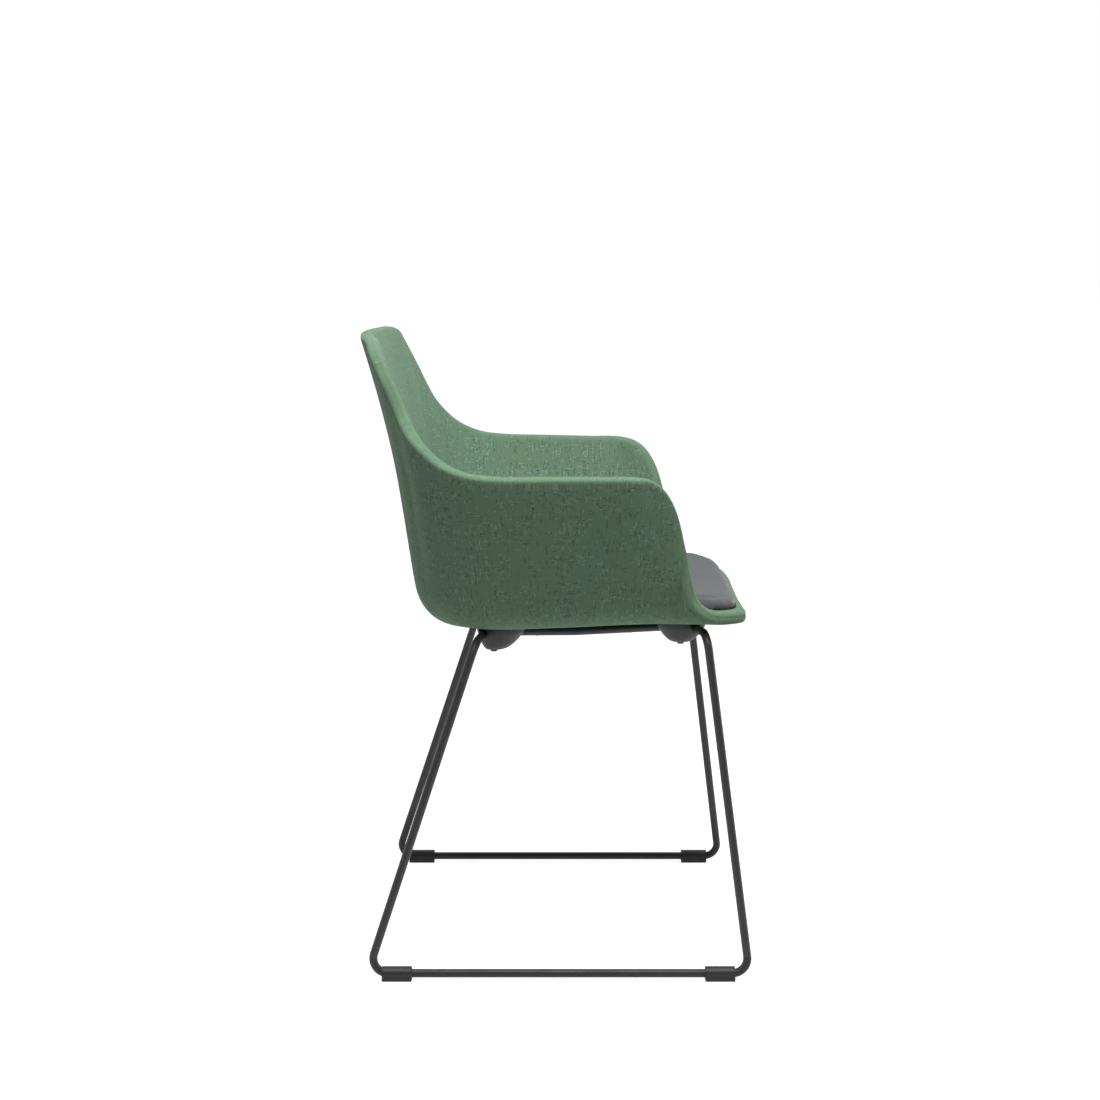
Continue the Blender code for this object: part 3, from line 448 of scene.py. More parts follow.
def rim_heading(grid, normal):
    """Unit direction out of the rim, square to the rim line and to the wall."""
    round_rim = np.roll(grid[-1], -1, axis=0) - np.roll(grid[-1], 1, axis=0)
    heading = np.cross(normal[-1], round_rim)
    heading /= np.linalg.norm(heading, axis=1, keepdims=True)
    if heading[0, 1] > 0:
        heading = -heading
    return heading


def plan_lengths(rim):
    """Signed length of the rim line in plan, measured from the middle of the back."""
    steps = np.linalg.norm(np.diff(rim[:, :2], axis=0), axis=1)
    run = np.concatenate(([0.0], np.cumsum(steps)))
    return run - run[int(np.argmax(rim[:, 1]))]


def build_shell():
    """Both covers as one closed skin, with its own cloth coordinates."""
    rim, hub, grid, normal, places, lying = shell_surface()
    radius = SHELL_THICK / 2
    heading = rim_heading(grid, normal)
    flat_heading = heading[:, :2] / np.linalg.norm(heading[:, :2], axis=1, keepdims=True)
    around = plan_lengths(rim)
    along_plan = np.roll(rim[:, :2], -1, axis=0) - np.roll(rim[:, :2], 1, axis=0)
    along_plan /= np.linalg.norm(along_plan, axis=1, keepdims=True)
    upright = 1 - lying[-1]
    sideways = (heading[:, :2] * along_plan).sum(axis=1) * upright
    upwards = np.where(upright > 0.5, np.sqrt(np.maximum(1 - sideways ** 2, 0.0)), 1.0)
    rings = []

    def add_ring(points, up, plan, lie, shift=0.0, calm=0.0):
        calm = np.full(len(around), calm)
        rings.append((points, np.column_stack((around + shift, up, lie)),
                      np.column_stack((plan, calm))))

    for points, out, up, lie in zip(grid, normal, places, lying):
        add_ring(padded_out(points + out * radius, out), up, points[:, :2], lie)
    for turn in RIM_TURNS:
        angle = math.pi * turn
        run = radius * min(angle, math.pi - angle)
        reach = radius - (SEAM_DEPTH if turn == 0.5 else 0.0)
        square = RIM_SQUARE if turn < 0.5 else 1.0
        across = math.copysign(abs(math.cos(angle)) ** square, math.cos(angle))
        edge = (grid[-1] + normal[-1] * reach * across
                + heading * reach * math.sin(angle) ** square)
        add_ring(edge, places[-1] + run * upwards, grid[-1][:, :2] + flat_heading * run,
                 lying[-1], run * sideways, math.sin(angle) ** CALM_POWER)
    for points, out, up, lie in zip(grid[::-1], normal[::-1], places[::-1], lying[::-1]):
        add_ring(points - out * radius, up, points[:, :2], lie)

    skin = bmesh.new()
    cloth = skin.verts.layers.float_vector.new("cloth")
    lie_flat = skin.verts.layers.float_vector.new("lie_flat")

    def add_vertex(place, cloth_place, plan):
        vertex = skin.verts.new(place)
        vertex[cloth] = Vector(cloth_place)
        vertex[lie_flat] = Vector(plan)
        return vertex

    below = add_vertex(hub - (0, 0, radius), (0, 0, 1), (*hub[:2], 0))
    above = add_vertex(hub + (0, 0, radius), (0, 0, 1), (*hub[:2], 0))
    made = [[add_vertex(*spot) for spot in zip(*ring)] for ring in rings]
    count = len(around)
    for k in range(count):
        k2 = (k + 1) % count
        skin.faces.new((below, made[0][k], made[0][k2]))
        skin.faces.new((above, made[-1][k2], made[-1][k]))
        for first, second in zip(made, made[1:]):
            skin.faces.new((first[k], second[k], second[k2], first[k2]))
    bmesh.ops.recalc_face_normals(skin, faces=skin.faces)
    mesh = bpy.data.meshes.new("upholstered_shell")
    skin.to_mesh(mesh)
    skin.free()
    mesh.shade_smooth()
    shell = bpy.data.objects.new("upholstered_shell", mesh)
    bpy.context.scene.collection.objects.link(shell)
    finish_with(shell, "SUBSURF", levels=1, render_levels=1)
    return shell


# ---- Tools for working as by hand ----

def deselect_all():
    bpy.ops.object.select_all(action="DESELECT")


def take(piece):
    """Make a piece the only selected and active one."""
    deselect_all()
    piece.select_set(True)
    bpy.context.view_layer.objects.active = piece


def finish_with(piece, kind, **settings):
    """Add a modifier and apply it."""
    take(piece)
    modifier = piece.modifiers.new(kind.lower(), kind)
    for key, value in settings.items():
        setattr(modifier, key, value)
    bpy.ops.object.modifier_apply(modifier=modifier.name)


def new_from_active(name):
    piece = bpy.context.active_object
    piece.name = name
    piece.data.name = name
    return piece


def edit(piece):
    """Go into edit mode on one piece."""
    take(piece)
    bpy.ops.object.mode_set(mode="EDIT")


def select_faces(piece, wanted):
    """Select, in edit mode, the faces for which wanted(face) is true."""
    bpy.ops.mesh.select_mode(type="FACE")
    bpy.ops.mesh.select_all(action="DESELECT")
    work = bmesh.from_edit_mesh(piece.data)
    for face in work.faces:
        if wanted(face):
            face.select_set(True)
    bmesh.update_edit_mesh(piece.data)


def select_edges(piece, wanted):
    bpy.ops.mesh.select_mode(type="EDGE")
    bpy.ops.mesh.select_all(action="DESELECT")
    work = bmesh.from_edit_mesh(piece.data)
    for edge in work.edges:
        if wanted(edge):
            edge.select_set(True)
    bmesh.update_edit_mesh(piece.data)


def shade(piece, sharp=SHARP):
    """Shade smooth, apart from edges sharper than so many degrees."""
    take(piece)
    bpy.ops.object.shade_smooth_by_angle(angle=math.radians(sharp))


def leave_edit(piece, sharp=SHARP):
    """Turn all faces outwards, leave edit mode and shade."""
    bpy.ops.mesh.select_mode(type="VERT")
    bpy.ops.mesh.select_all(action="SELECT")
    bpy.ops.mesh.remove_doubles(threshold=MERGE)
    bpy.ops.mesh.normals_make_consistent(inside=False)
    bpy.ops.object.mode_set(mode="OBJECT")
    shade(piece, sharp)


def soften(piece, width, segments, degrees):
    """Round the edges where faces meet at more than so many degrees."""
    finish_with(piece, "BEVEL", width=width, segments=segments, limit_method="ANGLE",
                angle_limit=math.radians(degrees))


def cut(piece, cutter):
    """Take one closed piece out of another."""
    finish_with(piece, "BOOLEAN", operation="DIFFERENCE", solver="EXACT", object=cutter,
                use_self=True)


def copy_of(piece, name):
    """A twin with its own mesh."""
    twin = piece.copy()
    twin.data = piece.data.copy()
    twin.name = name
    twin.data.name = name
    bpy.context.scene.collection.objects.link(twin)
    return twin


def remove(piece):
    bpy.data.objects.remove(piece, do_unlink=True)


def settle(piece):
    """Put a piece's place into its mesh."""
    take(piece)
    bpy.ops.object.transform_apply(location=True, rotation=True, scale=True)


def place_piece(piece, nodes, material):
    """Ride on the chair, stand for its nodes and wear its finish."""
    piece.data.materials.clear()
    piece.data.materials.append(material)
    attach(piece, "root")
    if nodes:
        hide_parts(*nodes)


# ---- Rods ----

def bend_plan(corners, radii, closed):
    """Straight runs and bends: (start, end, centre, axis, angle) at each corner."""
    corners = [Vector(c) for c in corners]
    plan = []
    count = len(corners)
    for i in range(count):
        if not closed and i in (0, count - 1):
            continue
        here = corners[i]
        back = (corners[i - 1] - here).normalized()
        ahead = (corners[(i + 1) % count] - here).normalized()
        turn = math.pi - back.angle(ahead)
        inset = radii[i] * math.tan(turn / 2)
        centre = here + (back + ahead).normalized() * radii[i] / math.cos(turn / 2)
        start = here + back * inset
        end = here + ahead * inset
        axis = (start - centre).cross(end - centre).normalized()
        plan.append((start, end, centre, axis, turn))
    return plan


def ring_middle():
    """Middle of the selected vertices in the mesh being edited."""
    work = bmesh.from_edit_mesh(bpy.context.active_object.data)
    spots = [v.co for v in work.verts if v.select]
    return sum(spots, Vector()) / len(spots)


def bent_rod(name, start, plan, end, radius, closed):
    """A round rod: a circle drawn along the runs and spun round the bends."""
    direction = (plan[0][0] - start).normalized()
    deselect_all()
    bpy.ops.mesh.primitive_circle_add(
        vertices=ROD_SIDES, radius=radius, location=start,
        rotation=direction.to_track_quat("Z", "X").to_euler())
    rod = new_from_active(name)
    settle(rod)
    bpy.ops.object.mode_set(mode="EDIT")
    bpy.ops.mesh.select_all(action="SELECT")
    here = start
    for bend_start, bend_end, centre, axis, turn in plan:
        bpy.ops.mesh.extrude_region_move(
            TRANSFORM_OT_translate={"value": bend_start - here})
        bpy.ops.mesh.spin(steps=BEND_STEPS, angle=-turn, center=centre, axis=axis)
        if (ring_middle() - bend_end).length > radius:
            raise ValueError("the rod was bent the wrong way")
        here = bend_end
    bpy.ops.mesh.extrude_region_move(TRANSFORM_OT_translate={"value": end - here})
    bpy.ops.mesh.select_all(action="SELECT")
    bpy.ops.mesh.remove_doubles(threshold=MERGE)
    select_edges(rod, lambda edge: edge.is_boundary)
    if closed:
        bpy.ops.mesh.bridge_edge_loops()
    else:
        bpy.ops.mesh.fill_holes(sides=ROD_SIDES)
    leave_edit(rod)
    return rod


def side_rod(word, side, radius=ROD_RADIUS):
    """One side of the sled: runner, legs and the rail under the seat, bent from one rod."""
    corners = [
        (side * RUNNER_HALF_WIDTH, RUNNER_FRONT_Y, RUNNER_Z),
        (side * LEG_TOP_FRONT[0], *LEG_TOP_FRONT[1:]),
        (side * RAIL_FRONT[0], *RAIL_FRONT[1:]),
        (side * RAIL_MIDDLE[0], *RAIL_MIDDLE[1:]),
        (side * RAIL_BACK[0], *RAIL_BACK[1:]),
        (side * LEG_TOP_BACK[0], *LEG_TOP_BACK[1:]),
        (side * RUNNER_HALF_WIDTH, RUNNER_BACK_Y, RUNNER_Z),
    ]
    radii = (FOOT_BEND, TOP_BEND, RAIL_BEND, RAIL_BEND, RAIL_BEND, TOP_BEND, FOOT_BEND)
    plan = bend_plan(corners, radii, closed=True)
    start = Vector((side * RUNNER_HALF_WIDTH, 0.0, RUNNER_Z))
    end = start + Vector((0, ROD_GAP, 0))
    return bent_rod("bent_rod_" + word, start, plan, end, radius, closed=True)


def rail_point(side, y):
    """Axis of the rail under the seat at a given y."""
    for a, b in ((RAIL_FRONT, RAIL_MIDDLE), (RAIL_MIDDLE, RAIL_BACK)):
        if a[1] <= y <= b[1]:
            share = (y - a[1]) / (b[1] - a[1])
            return Vector((side * between(a[0], b[0], share), y, between(a[2], b[2], share)))
    raise ValueError("no rail at this y")


def cross_bar(name, y):
    """A bar bowed down between the rails, with a weld bead at each end."""
    right = rail_point(-1, y)
    left = rail_point(1, y)
    low = Vector((0, 0, -BAR_DIP))
    share = (1 - BAR_FLAT_SHARE) / 2
    corners = [right, right.lerp(left, share) + low, left.lerp(right, share) + low, left]
    plan = bend_plan(corners, [RAIL_BEND] * len(corners), closed=False)
    bar = bent_rod(name, right, plan, left, BAR_RADIUS, closed=False)
    beads = []
    for side, end in ((-1, right), (1, left)):
        deselect_all()
        bpy.ops.mesh.primitive_torus_add(
            major_radius=BAR_RADIUS, minor_radius=BEAD_RADIUS,
            major_segments=BEAD_SIDES[0], minor_segments=BEAD_SIDES[1],
            rotation=(0, math.pi / 2, 0))
        bead = new_from_active(name + "_bead")
        settle(bead)
        for vertex in bead.data.vertices:
            spot = vertex.co
            saddle = math.sqrt(max(ROD_RADIUS ** 2 - spot.z ** 2, 0.0))
            ripple = 1 + BEAD_RIPPLE * math.sin(BEAD_RIPPLES * math.atan2(spot.z, spot.y))
            spot.x = spot.x * ripple - side * saddle
        bead.data.transform(Matrix.Translation(end))
        beads.append(bead)
    take(bar)
    for bead in beads:
        bead.select_set(True)
    bpy.ops.object.join()
    bpy.ops.object.shade_smooth()
    return bar


# ---- Mounts, screws and gliders ----

def rod_room(word, side):
    """A grown rod, open to the top, that cuts the mounts' grooves."""
    room = side_rod("room_" + word, side, ROD_RADIUS + MOUNT_PLAY)
    for vertex in room.data.vertices:
        if vertex.normal.z > ROOM_UPWARD:
            vertex.co.z += SHELL_THICK
    return room


def domed_mount(name, side, y, low_z, screw_y, room):
    """Drawn up in rings from its flat foot to the skirt, then let into the shell."""
    foot = Vector((side * SCREW_X, screw_y, low_z))
    middle = Vector((side * DOME_X, y, 0))
    skirt_z = floor_z(DOME_X, y) - SHELL_THICK / 2 - DOME_SKIRT_DROP
    deselect_all()
    bpy.ops.mesh.primitive_circle_add(vertices=DOME_SIDES, radius=1, location=foot)
    mount = new_from_active(name)
    mount.scale = (DOME_HALF_WIDTH * DOME_FLAT_SHARE, DOME_HALF_LENGTH * DOME_FLAT_SHARE, 1)
    settle(mount)
    edit(mount)
    bpy.ops.mesh.select_all(action="SELECT")
    bpy.ops.mesh.edge_face_add()
    here = foot
    share = DOME_FLAT_SHARE
    for i in range(1, DOME_RINGS + 1):
        rise = i / DOME_RINGS
        there = foot.lerp(middle, rise)
        there.z = between(low_z, skirt_z, rise ** DOME_POWER)
        bpy.ops.mesh.extrude_edges_move(TRANSFORM_OT_translate={"value": there - here})
        wider = between(DOME_FLAT_SHARE, 1.0, rise)
        bpy.ops.transform.resize(value=(wider / share, wider / share, 1),
                                 center_override=there)
        here, share = there, wider
    for _ in range(2):
        bpy.ops.mesh.extrude_edges_move(
            TRANSFORM_OT_translate={"value": (0, 0, DOME_SKIRT_DROP)})
    bpy.ops.mesh.edge_face_add()
    bpy.ops.mesh.poke()
    leave_edit(mount)
    top = max(vertex.co.z for vertex in mount.data.vertices)
    for vertex in mount.data.vertices:
        if vertex.co.z > top - 1e-5:
            vertex.co.z = (floor_z(vertex.co.x, vertex.co.y) - SHELL_THICK / 2
                           + MOUNT_LET_IN)
    cut(mount, room)
    soften(mount, *MOUNT_EDGE)
    shade(mount)
    return mount


def socket_screw():
    """A pan head with a hex socket below and its shank above, at the origin."""
    deselect_all()
    bpy.ops.mesh.primitive_cylinder_add(
        vertices=ROUND_SIDES, radius=SCREW_HEAD_RADIUS, depth=SCREW_HEAD_HEIGHT,
        location=(0, 0, SCREW_HEAD_HEIGHT / 2))
    screw = new_from_active("socket_screw")
    settle(screw)
    edit(screw)
    select_faces(screw, lambda face: face.normal.z > 0.9)
    bpy.ops.mesh.inset(thickness=SCREW_HEAD_RADIUS - SCREW_SHANK_RADIUS)
    bpy.ops.mesh.extrude_region_move(
        TRANSFORM_OT_translate={"value": (0, 0, SCREW_SHANK_LENGTH)})
    leave_edit(screw)
    deselect_all()
    bpy.ops.mesh.primitive_cylinder_add(
        vertices=6, radius=SCREW_SOCKET_RADIUS * 2 / math.sqrt(3),
        depth=2 * SCREW_SOCKET_DEPTH, location=(0, 0, 0))
    key = new_from_active("hex_key")
    settle(key)
    cut(screw, key)
    remove(key)
    soften(screw, *SCREW_EDGE)
    shade(screw)
    return screw


def glider():
    """A clip for the runner, flat below and slotted, at the origin along y."""
    outer = ROD_RADIUS + GLIDER_WALL
    deselect_all()
    bpy.ops.mesh.primitive_circle_add(
        vertices=ROUND_SIDES, radius=outer, rotation=(math.pi / 2, 0, 0),
        location=(0, -GLIDER_LENGTH / 2, 0), fill_type="NGON")
    clip = new_from_active("glider")
    settle(clip)
    for vertex in clip.data.vertices:
        spot = vertex.co
        if spot.z < 0:
            turn = math.atan2(-spot.z, abs(spot.x))
            across = outer if turn < math.pi / 4 else outer / math.tan(turn)
            down = RUNNER_Z
            if turn < STEEP_TURN:
                down = min(outer * math.tan(turn), RUNNER_Z)
            spot.x = math.copysign(min(across, outer), spot.x)
            spot.z = -down
    edit(clip)
    bpy.ops.mesh.select_all(action="SELECT")
    bpy.ops.mesh.extrude_region_move(
        TRANSFORM_OT_translate={"value": (0, GLIDER_LENGTH, 0)})
    select_edges(clip, lambda edge: edge.calc_length() > GLIDER_WALL
                 and max(v.co.z for v in edge.verts) < NEAR - RUNNER_Z
                 and abs(edge.verts[0].co.y - edge.verts[1].co.y) < NEAR)
    bpy.ops.mesh.bevel(offset=GLIDER_TOE, offset_type="OFFSET", segments=6)
    leave_edit(clip)
    soften(clip, *GLIDER_EDGE)
    for x, z, wide, high in ((0, -RUNNER_Z, GLIDER_SLOT, RUNNER_Z),
                             (-outer, GLIDER_LINE_Z, *GLIDER_LINE),
                             (outer, GLIDER_LINE_Z, *GLIDER_LINE)):
        deselect_all()
        bpy.ops.mesh.primitive_cube_add(
            size=1, location=(x, 0, z), scale=(wide, 2 * GLIDER_LENGTH, high))
        slot = new_from_active("glider_slot")
        settle(slot)
        cut(clip, slot)
        remove(slot)
    deselect_all()
    bpy.ops.mesh.primitive_cylinder_add(
        vertices=ROUND_SIDES, radius=ROD_RADIUS + GLIDER_PLAY, depth=2 * GLIDER_LENGTH,
        rotation=(math.pi / 2, 0, 0))
    bore = new_from_active("glider_bore")
    settle(bore)
    cut(clip, bore)
    remove(bore)
    shade(clip, 30)
    return clip


# ---- Seat cushion ----

def keep_clear(points, skin, gap):
    """Push points that lie in the skin, or nearer to it than the gap, back out."""
    for i, point in enumerate(points):
        hit, spot, normal, _ = skin.closest_point_on_mesh(point, distance=CUSHION_NEAR)
        if hit and (Vector(point) - spot).dot(normal) < gap:
            points[i] = spot + normal * gap


def seat_cushion(shell):
    """The pad's solid, rounded and blown up a little, as foam fills its cover."""
    pad = copy_of(frame["nodes"]["seat_pad"], "seat_cushion")
    pad.parent = None
    pad.hide_set(False)
    pad.hide_render = False
    edit(pad)
    leave_edit(pad, 180)
    finish_with(pad, "REMESH", mode="VOXEL", voxel_size=CUSHION_VOXEL, adaptivity=0.0)
    finish_with(pad, "SMOOTH", factor=0.5, iterations=CUSHION_SMOOTHING[0])
    rest = np.empty(len(pad.data.vertices) * 3)
    pad.data.vertices.foreach_get("co", rest)
    outward = np.array([vertex.normal for vertex in pad.data.vertices])
    take(pad)
    cloth = pad.modifiers.new("cloth", "CLOTH")
    cloth.settings.use_pressure = True
    cloth.settings.uniform_pressure_force = CUSHION_PRESSURE
    cloth.settings.effector_weights.gravity = 0
    for step in range(1, CUSHION_FRAMES + 1):
        bpy.context.scene.frame_set(step)
    bpy.ops.object.modifier_apply(modifier=cloth.name)
    blown = np.empty_like(rest)
    pad.data.vertices.foreach_get("co", blown)
    rest = rest.reshape(-1, 3)
    moved = blown.reshape(-1, 3) - rest
    grown = np.clip((moved * outward).sum(axis=1, keepdims=True), 0.0, CUSHION_SWELL)
    points = rest + outward * grown
    keep_clear(points, shell, CUSHION_GAP)
    pad.data.vertices.foreach_set("co", points.ravel())
    bpy.context.scene.frame_set(1)
    finish_with(pad, "SMOOTH", factor=0.5, iterations=CUSHION_SMOOTHING[1])
    finish_with(pad, "SUBSURF", levels=1, render_levels=1)
    take(pad)
    bpy.ops.object.shade_smooth()
    return pad


# ---- Finishes ----

class Number:
    """A socket that carries a number; Python's operators add Math nodes."""

    def __init__(self, finish, socket):
        self.finish = finish
        self.socket = socket

    def math(self, operation, *values):
        node = self.finish.node("ShaderNodeMath", {"operation": operation},
                                dict(enumerate((self, *values))))
        return Number(self.finish, node.outputs[0])

    def __add__(self, other):
        return self.math("ADD", other)

    __radd__ = __add__

    def __mul__(self, other):
        return self.math("MULTIPLY", other)

    __rmul__ = __mul__

    def __sub__(self, other):
        return self.math("SUBTRACT", other)

    def __rsub__(self, other):
        return (self * -1.0) + other

    def __truediv__(self, other):
        return self.math("DIVIDE", other)


class Finish:
    """A material made of nodes round its Principled shader."""

    def __init__(self, name, **sockets):
        self.material = bpy.data.materials.new(name)
        self.material.use_nodes = True
        self.tree = self.material.node_tree
        self.shader = self.tree.nodes["Principled BSDF"]
        self.set(**{key.replace("_", " ").title(): value for key, value in sockets.items()})

    def feed(self, socket, value):
        if isinstance(value, Number):
            value = value.socket
        if isinstance(value, bpy.types.NodeSocket):
            self.tree.links.new(value, socket)
        else:
            socket.default_value = value

    def node(self, kind, settings=None, values=None):
        """A node with its settings made first, then its sockets fed."""
        node = self.tree.nodes.new(kind)
        for key, value in (settings or {}).items():
            setattr(node, key, value)
        for key, value in (values or {}).items():
            self.feed(node.inputs[key], value)
        return node

    def set(self, **values):
        for key, value in values.items():
            self.feed(self.shader.inputs[key], value)

    def number(self, socket):
        return Number(self, socket)

    def split(self, vector):
        node = self.node("ShaderNodeSeparateXYZ", values={0: vector})
        return [self.number(out) for out in node.outputs]

    def join(self, x, y, z=0.0):
        return self.node("ShaderNodeCombineXYZ", values={0: x, 1: y, 2: z}).outputs[0]

    def attribute(self, name):
        return self.node("ShaderNodeAttribute", {"attribute_name": name}).outputs["Vector"]

    def place(self):
        return self.node("ShaderNodeTexCoord").outputs["Object"]

    def noise(self, vector, scale, detail=0.0, roughness=0.5):
        node = self.node("ShaderNodeTexNoise", {"noise_dimensions": "3D"},
                         {"Vector": vector, "Scale": scale, "Detail": detail,
                          "Roughness": roughness})
        return self.number(node.outputs[0])

    def ease(self, value, low, high, to_low=0.0, to_high=1.0):
        node = self.node("ShaderNodeMapRange", {"interpolation_type": "SMOOTHSTEP"},
                         {"Value": value, "From Min": low, "From Max": high,
                          "To Min": to_low, "To Max": to_high})
        return self.number(node.outputs[0])

    def mix(self, factor, first, second):
        node = self.node("ShaderNodeMix", {"data_type": "RGBA"},
                         {0: factor, 6: first, 7: second})
        return node.outputs[2]

    def bump(self, height, strength, distance):
        node = self.node("ShaderNodeBump", values={
            "Strength": strength, "Distance": distance, "Height": height})
        self.feed(self.shader.inputs["Normal"], node.outputs[0])


def thread_marks(finish, across, along, marks, reach=0.0):
    """Dashes one thread wide: each thread thickens and thins along its run."""
    length, seed, low, high = marks
    column = (across / THREAD).math("FLOOR")
    wave = finish.noise(finish.join(column * THREAD_STEP + seed, along / length), 1.0)
    return finish.ease(wave, reach + low, reach + high)


def cloth_pattern(finish, across, along):
    """Dark and light marks of a flecked weave, its relief and its streaks."""
    patch = finish.noise(finish.join(across, along), PATCH_SCALE, 1.0)
    reach = finish.ease(patch, 0.35, 0.65, *PATCH_REACH)
    dark = thread_marks(finish, across, along, DARK_WARP, reach)
    dark_weft = thread_marks(finish, along, across, DARK_WEFT, reach)
    light = thread_marks(finish, across, along, LIGHT_WARP, reach)
    light_weft = thread_marks(finish, along, across, LIGHT_WEFT, reach)
    streak = thread_marks(finish, across, along, STREAK)
    return (dark.math("MAXIMUM", dark_weft), light.math("MAXIMUM", light_weft),
            plain_weave(across, along), streak)


def plain_weave(across, along):
    """Relief of threads that go over and under each other."""
    warp = (across * (math.pi / WEAVE)).math("SINE")
    weft = (along * (math.pi / WEAVE)).math("SINE")
    return warp * weft * 0.5 + 0.5


def green_weave():
    """Flecked cloth that follows the shell's own cloth coordinates."""
    finish = Finish("green_weave", roughness=0.9, sheen_weight=0.12, sheen_roughness=0.5)
    finish.set(**{"Specular IOR Level": 0.25, "Sheen Tint": GREEN_SHEEN})
    around, up, lying = finish.split(finish.attribute("cloth"))
    flat_x, flat_y, calm = finish.split(finish.attribute("lie_flat"))
    standing = cloth_pattern(finish, around, up)
    laid = cloth_pattern(finish, flat_x, flat_y)
    share = finish.ease(lying, 0.45, 0.55)
    dark, light, relief, streak = (a * (1 - share) + b * share
                                   for a, b in zip(standing, laid))
    strong = 1 - calm * RIM_CALM
    dark, light = dark * strong, light * strong
    tint = finish.noise(finish.place(), 9.0, 3.0)
    fine = finish.noise(finish.place(), 900.0, 1.0)
    ground = finish.mix(finish.ease(tint, 0.35, 0.65), GREEN, COOL_GREEN)
    deep = (1 - finish.ease(fine, 0.2, 0.8)) * 0.5 + (1 - streak) * 0.5
    ground = finish.mix(deep, ground, DEEP_GREEN)
    colour = finish.mix(dark * 0.60, ground, DARK_MARK)
    colour = finish.mix(light * 0.40, colour, LIGHT_MARK)
    finish.set(**{"Base Color": colour})
    finish.bump(relief * 0.5 + light * 0.5 - dark * 0.4, 0.35, 0.0004)
    return finish.material


def grey_weave():
    """Fine plain cloth of the cushion."""
    finish = Finish("grey_weave", roughness=0.92, sheen_weight=0.25, sheen_roughness=0.5)
    finish.set(**{"Specular IOR Level": 0.25})
    x, y, z = finish.split(finish.place())
    fine = finish.noise(finish.place(), 1400.0, 1.0)
    soft = finish.noise(finish.place(), 14.0, 2.0)
    colour = finish.mix(finish.ease(fine, 0.25, 0.75), GREY, PALE_GREY)
    colour = finish.mix(finish.ease(soft, 0.3, 0.7) * 0.3, colour, SOFT_GREY)
    finish.set(**{"Base Color": colour})
    finish.bump(plain_weave(x, y - z) * 0.6 + fine * 0.4, 0.30, 0.0003)
    return finish.material


def hard_finish(name, colours, clouding, gloss=None, relief=None, specular=None, **sockets):
    """Paint, plastic or steel, a little uneven in colour, gloss and surface."""
    finish = Finish(name, **sockets)
    cloud = finish.noise(finish.place(), clouding, 2.0)
    finish.set(**{"Base Color": finish.mix(finish.ease(cloud, 0.3, 0.7), *colours)})
    if specular is not None:
        finish.set(**{"Specular IOR Level": specular})
    if gloss:
        low, high, scale = gloss
        change = finish.noise(finish.place(), scale, 2.0)
        finish.set(Roughness=finish.ease(change, 0.3, 0.7, low, high))
    if relief:
        strength, scale = relief
        finish.bump(finish.noise(finish.place(), scale, 2.0), strength, 0.0003)
    return finish.material


# ---- Stage ----

def build_world():
    """Soft light, least from the camera's side (-X), and a white ground to the camera."""
    world = bpy.context.scene.world or bpy.data.worlds.new("studio")
    bpy.context.scene.world = world
    world.use_nodes = True
    tree = world.node_tree

    def node(kind, settings, values):
        made = tree.nodes.new(kind)
        for key, value in settings.items():
            setattr(made, key, value)
        for key, value in values.items():
            if isinstance(value, bpy.types.NodeSocket):
                tree.links.new(value, made.inputs[key])
            else:
                made.inputs[key].default_value = value
        return made.outputs

    path = node("ShaderNodeLightPath", {}, {})
    towards = node("ShaderNodeTexCoord", {}, {})["Generated"]
    parts = node("ShaderNodeSeparateXYZ", {}, {0: towards})
    mirrored = node("ShaderNodeMapRange", {"interpolation_type": "SMOOTHSTEP"}, {
        "Value": parts["X"], "From Min": MIRRORED_SIDES[0], "From Max": MIRRORED_SIDES[1],
        "To Min": DARK_REFLECTION, "To Max": 1.0})["Result"]
    sky = node("ShaderNodeMapRange", {}, {
        "Value": parts["Z"], "From Min": 0.0, "From Max": SKY_TOP,
        "To Min": SKY_LOW, "To Max": SKY_HIGH})["Result"]
    facing = node("ShaderNodeMapRange", {"interpolation_type": "SMOOTHSTEP"}, {
        "Value": parts["X"], "From Min": SKY_SIDES[0], "From Max": SKY_SIDES[1],
        "To Min": SKY_CAMERA_SHARE, "To Max": 1.0})["Result"]
    sky = node("ShaderNodeMath", {"operation": "MULTIPLY"}, {0: sky, 1: facing})[0]
    soft = node("ShaderNodeMix", {"data_type": "FLOAT"}, {
        0: path["Is Glossy Ray"], 2: sky, 3: mirrored})["Result"]
    seen = node("ShaderNodeMath", {"operation": "MAXIMUM"}, {
        0: path["Is Camera Ray"], 1: path["Is Transmission Ray"]})[0]
    strength = node("ShaderNodeMix", {"data_type": "FLOAT"}, {0: seen, 2: soft, 3: 1.0})
    tree.links.new(strength["Result"], tree.nodes["Background"].inputs["Strength"])
    tree.nodes["Background"].inputs["Color"].default_value = (1, 1, 1, 1)


def softbox(name, place, aim, size, watts):
    """A rectangular lamp that faces its aim."""
    data = bpy.data.lights.new(name, "AREA")
    data.shape = "RECTANGLE"
    data.size, data.size_y = size
    data.energy = watts
    lamp = bpy.data.objects.new(name, data)
    bpy.context.scene.collection.objects.link(lamp)
    lamp.location = place
    lamp.rotation_euler = (Vector(aim) - Vector(place)).to_track_quat("-Z", "Y").to_euler()


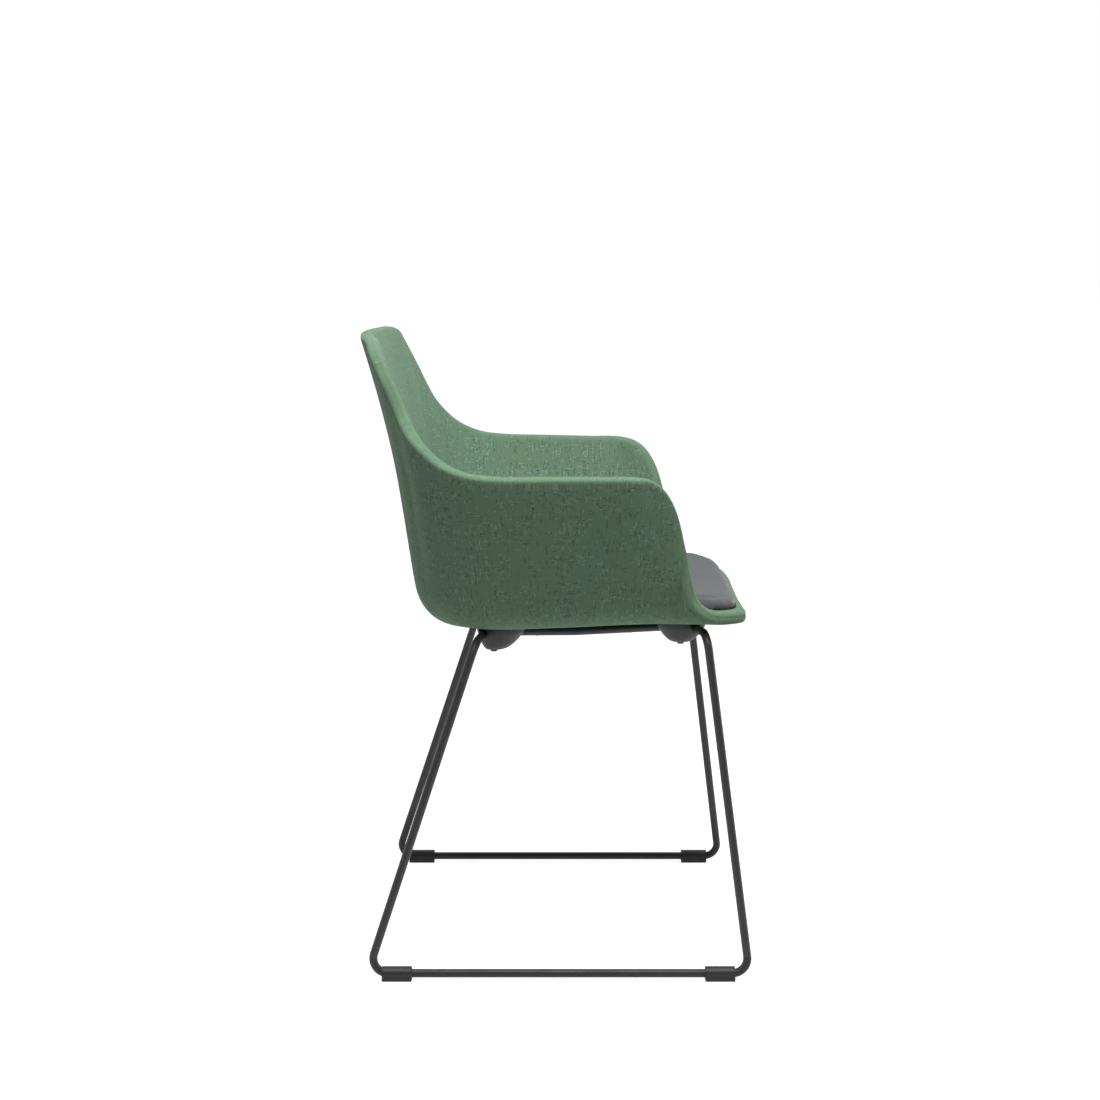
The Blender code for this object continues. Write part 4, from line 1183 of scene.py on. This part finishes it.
def build_stage():
    """Pale floor, soft sky and softboxes."""
    deselect_all()
    bpy.ops.mesh.primitive_plane_add(size=FLOOR_SIZE, location=(0, 0, 0))
    floor = new_from_active("studio_floor")
    finish = Finish("studio_floor", roughness=0.8)
    finish.shader.inputs["Base Color"].default_value = (*[FLOOR_GREY] * 3, 1)
    path = finish.node("ShaderNodeLightPath")
    seen = finish.number(path.outputs["Is Camera Ray"])
    for ray in ("Is Glossy Ray", "Is Transmission Ray"):
        seen = seen.math("MAXIMUM", finish.number(path.outputs[ray]))
    finish.set(**{"Emission Color": finish.mix(seen, (0, 0, 0, 1), (*[FLOOR_GLOW] * 3, 1)),
                  "Emission Strength": 1.0})
    floor.data.materials.append(finish.material)
    build_world()
    for name, settings in SOFTBOXES.items():
        softbox(name, *settings)


def build_camera():
    data = bpy.data.cameras.new("camera")
    camera = bpy.data.objects.new("camera", data)
    bpy.context.scene.collection.objects.link(camera)
    data.sensor_width = CAMERA_SENSOR
    data.lens = CAMERA_LENS
    data.shift_x = CAMERA_SHIFT
    camera.location = CAMERA_PLACE
    camera.rotation_euler = (math.pi / 2 - CAMERA_DOWN, 0, -math.pi / 2)
    bpy.context.scene.camera = camera
    bpy.context.scene.view_settings.view_transform = "Standard"


def main():
    build_camera()
    build_stage()
    weave = green_weave()
    finishes = {"green_weave": weave, "grey_weave": grey_weave()}
    finishes.update({name: hard_finish(name, **look) for name, look in HARD_FINISHES.items()})
    powder = finishes["black_powder"]
    plastic = finishes["black_plastic"]
    slots = {row["node"]: row["material_slot"] for row in frame["record"]["subparts"]}
    for name, node in frame["nodes"].items():
        for place in node.material_slots:
            place.material = finishes[slots[name]]
    shell = build_shell()
    place_piece(shell, ("outer_upholstery", "inner_upholstery"), weave)
    cushion = seat_cushion(shell)
    place_piece(cushion, ("seat_pad",), finishes["grey_weave"])
    for name, y in BAR_PLACES.items():
        bar = cross_bar("bowed_" + name, y)
        place_piece(bar, (name,), powder)
    screw = socket_screw()
    clip = glider()
    for word, side in SIDES.items():
        place_piece(side_rod(word, side), (word + "_side_frame",), powder)
        room = rod_room(word, side)
        for end, (y, low_z, screw_y) in MOUNT_PLACES.items():
            where = end + "_" + word
            mount = domed_mount("domed_mount_" + where, side, y, low_z, screw_y, room)
            place_piece(mount, ("mount_" + where,), plastic)
            twin = copy_of(screw, "socket_screw_" + where)
            twin.data.transform(Matrix.Translation(
                (side * SCREW_X, screw_y, low_z - SCREW_SEAT - SCREW_HEAD_HEIGHT)))
            place_piece(twin, ("screw_" + where,), finishes["black_steel"])
            twin = copy_of(clip, "runner_glider_" + where)
            twin.data.transform(Matrix.Translation(
                (side * RUNNER_HALF_WIDTH, GLIDER_PLACES[end], RUNNER_Z)))
            place_piece(twin, ("glider_" + where,), plastic)
        remove(room)
    remove(screw)
    remove(clip)


main()
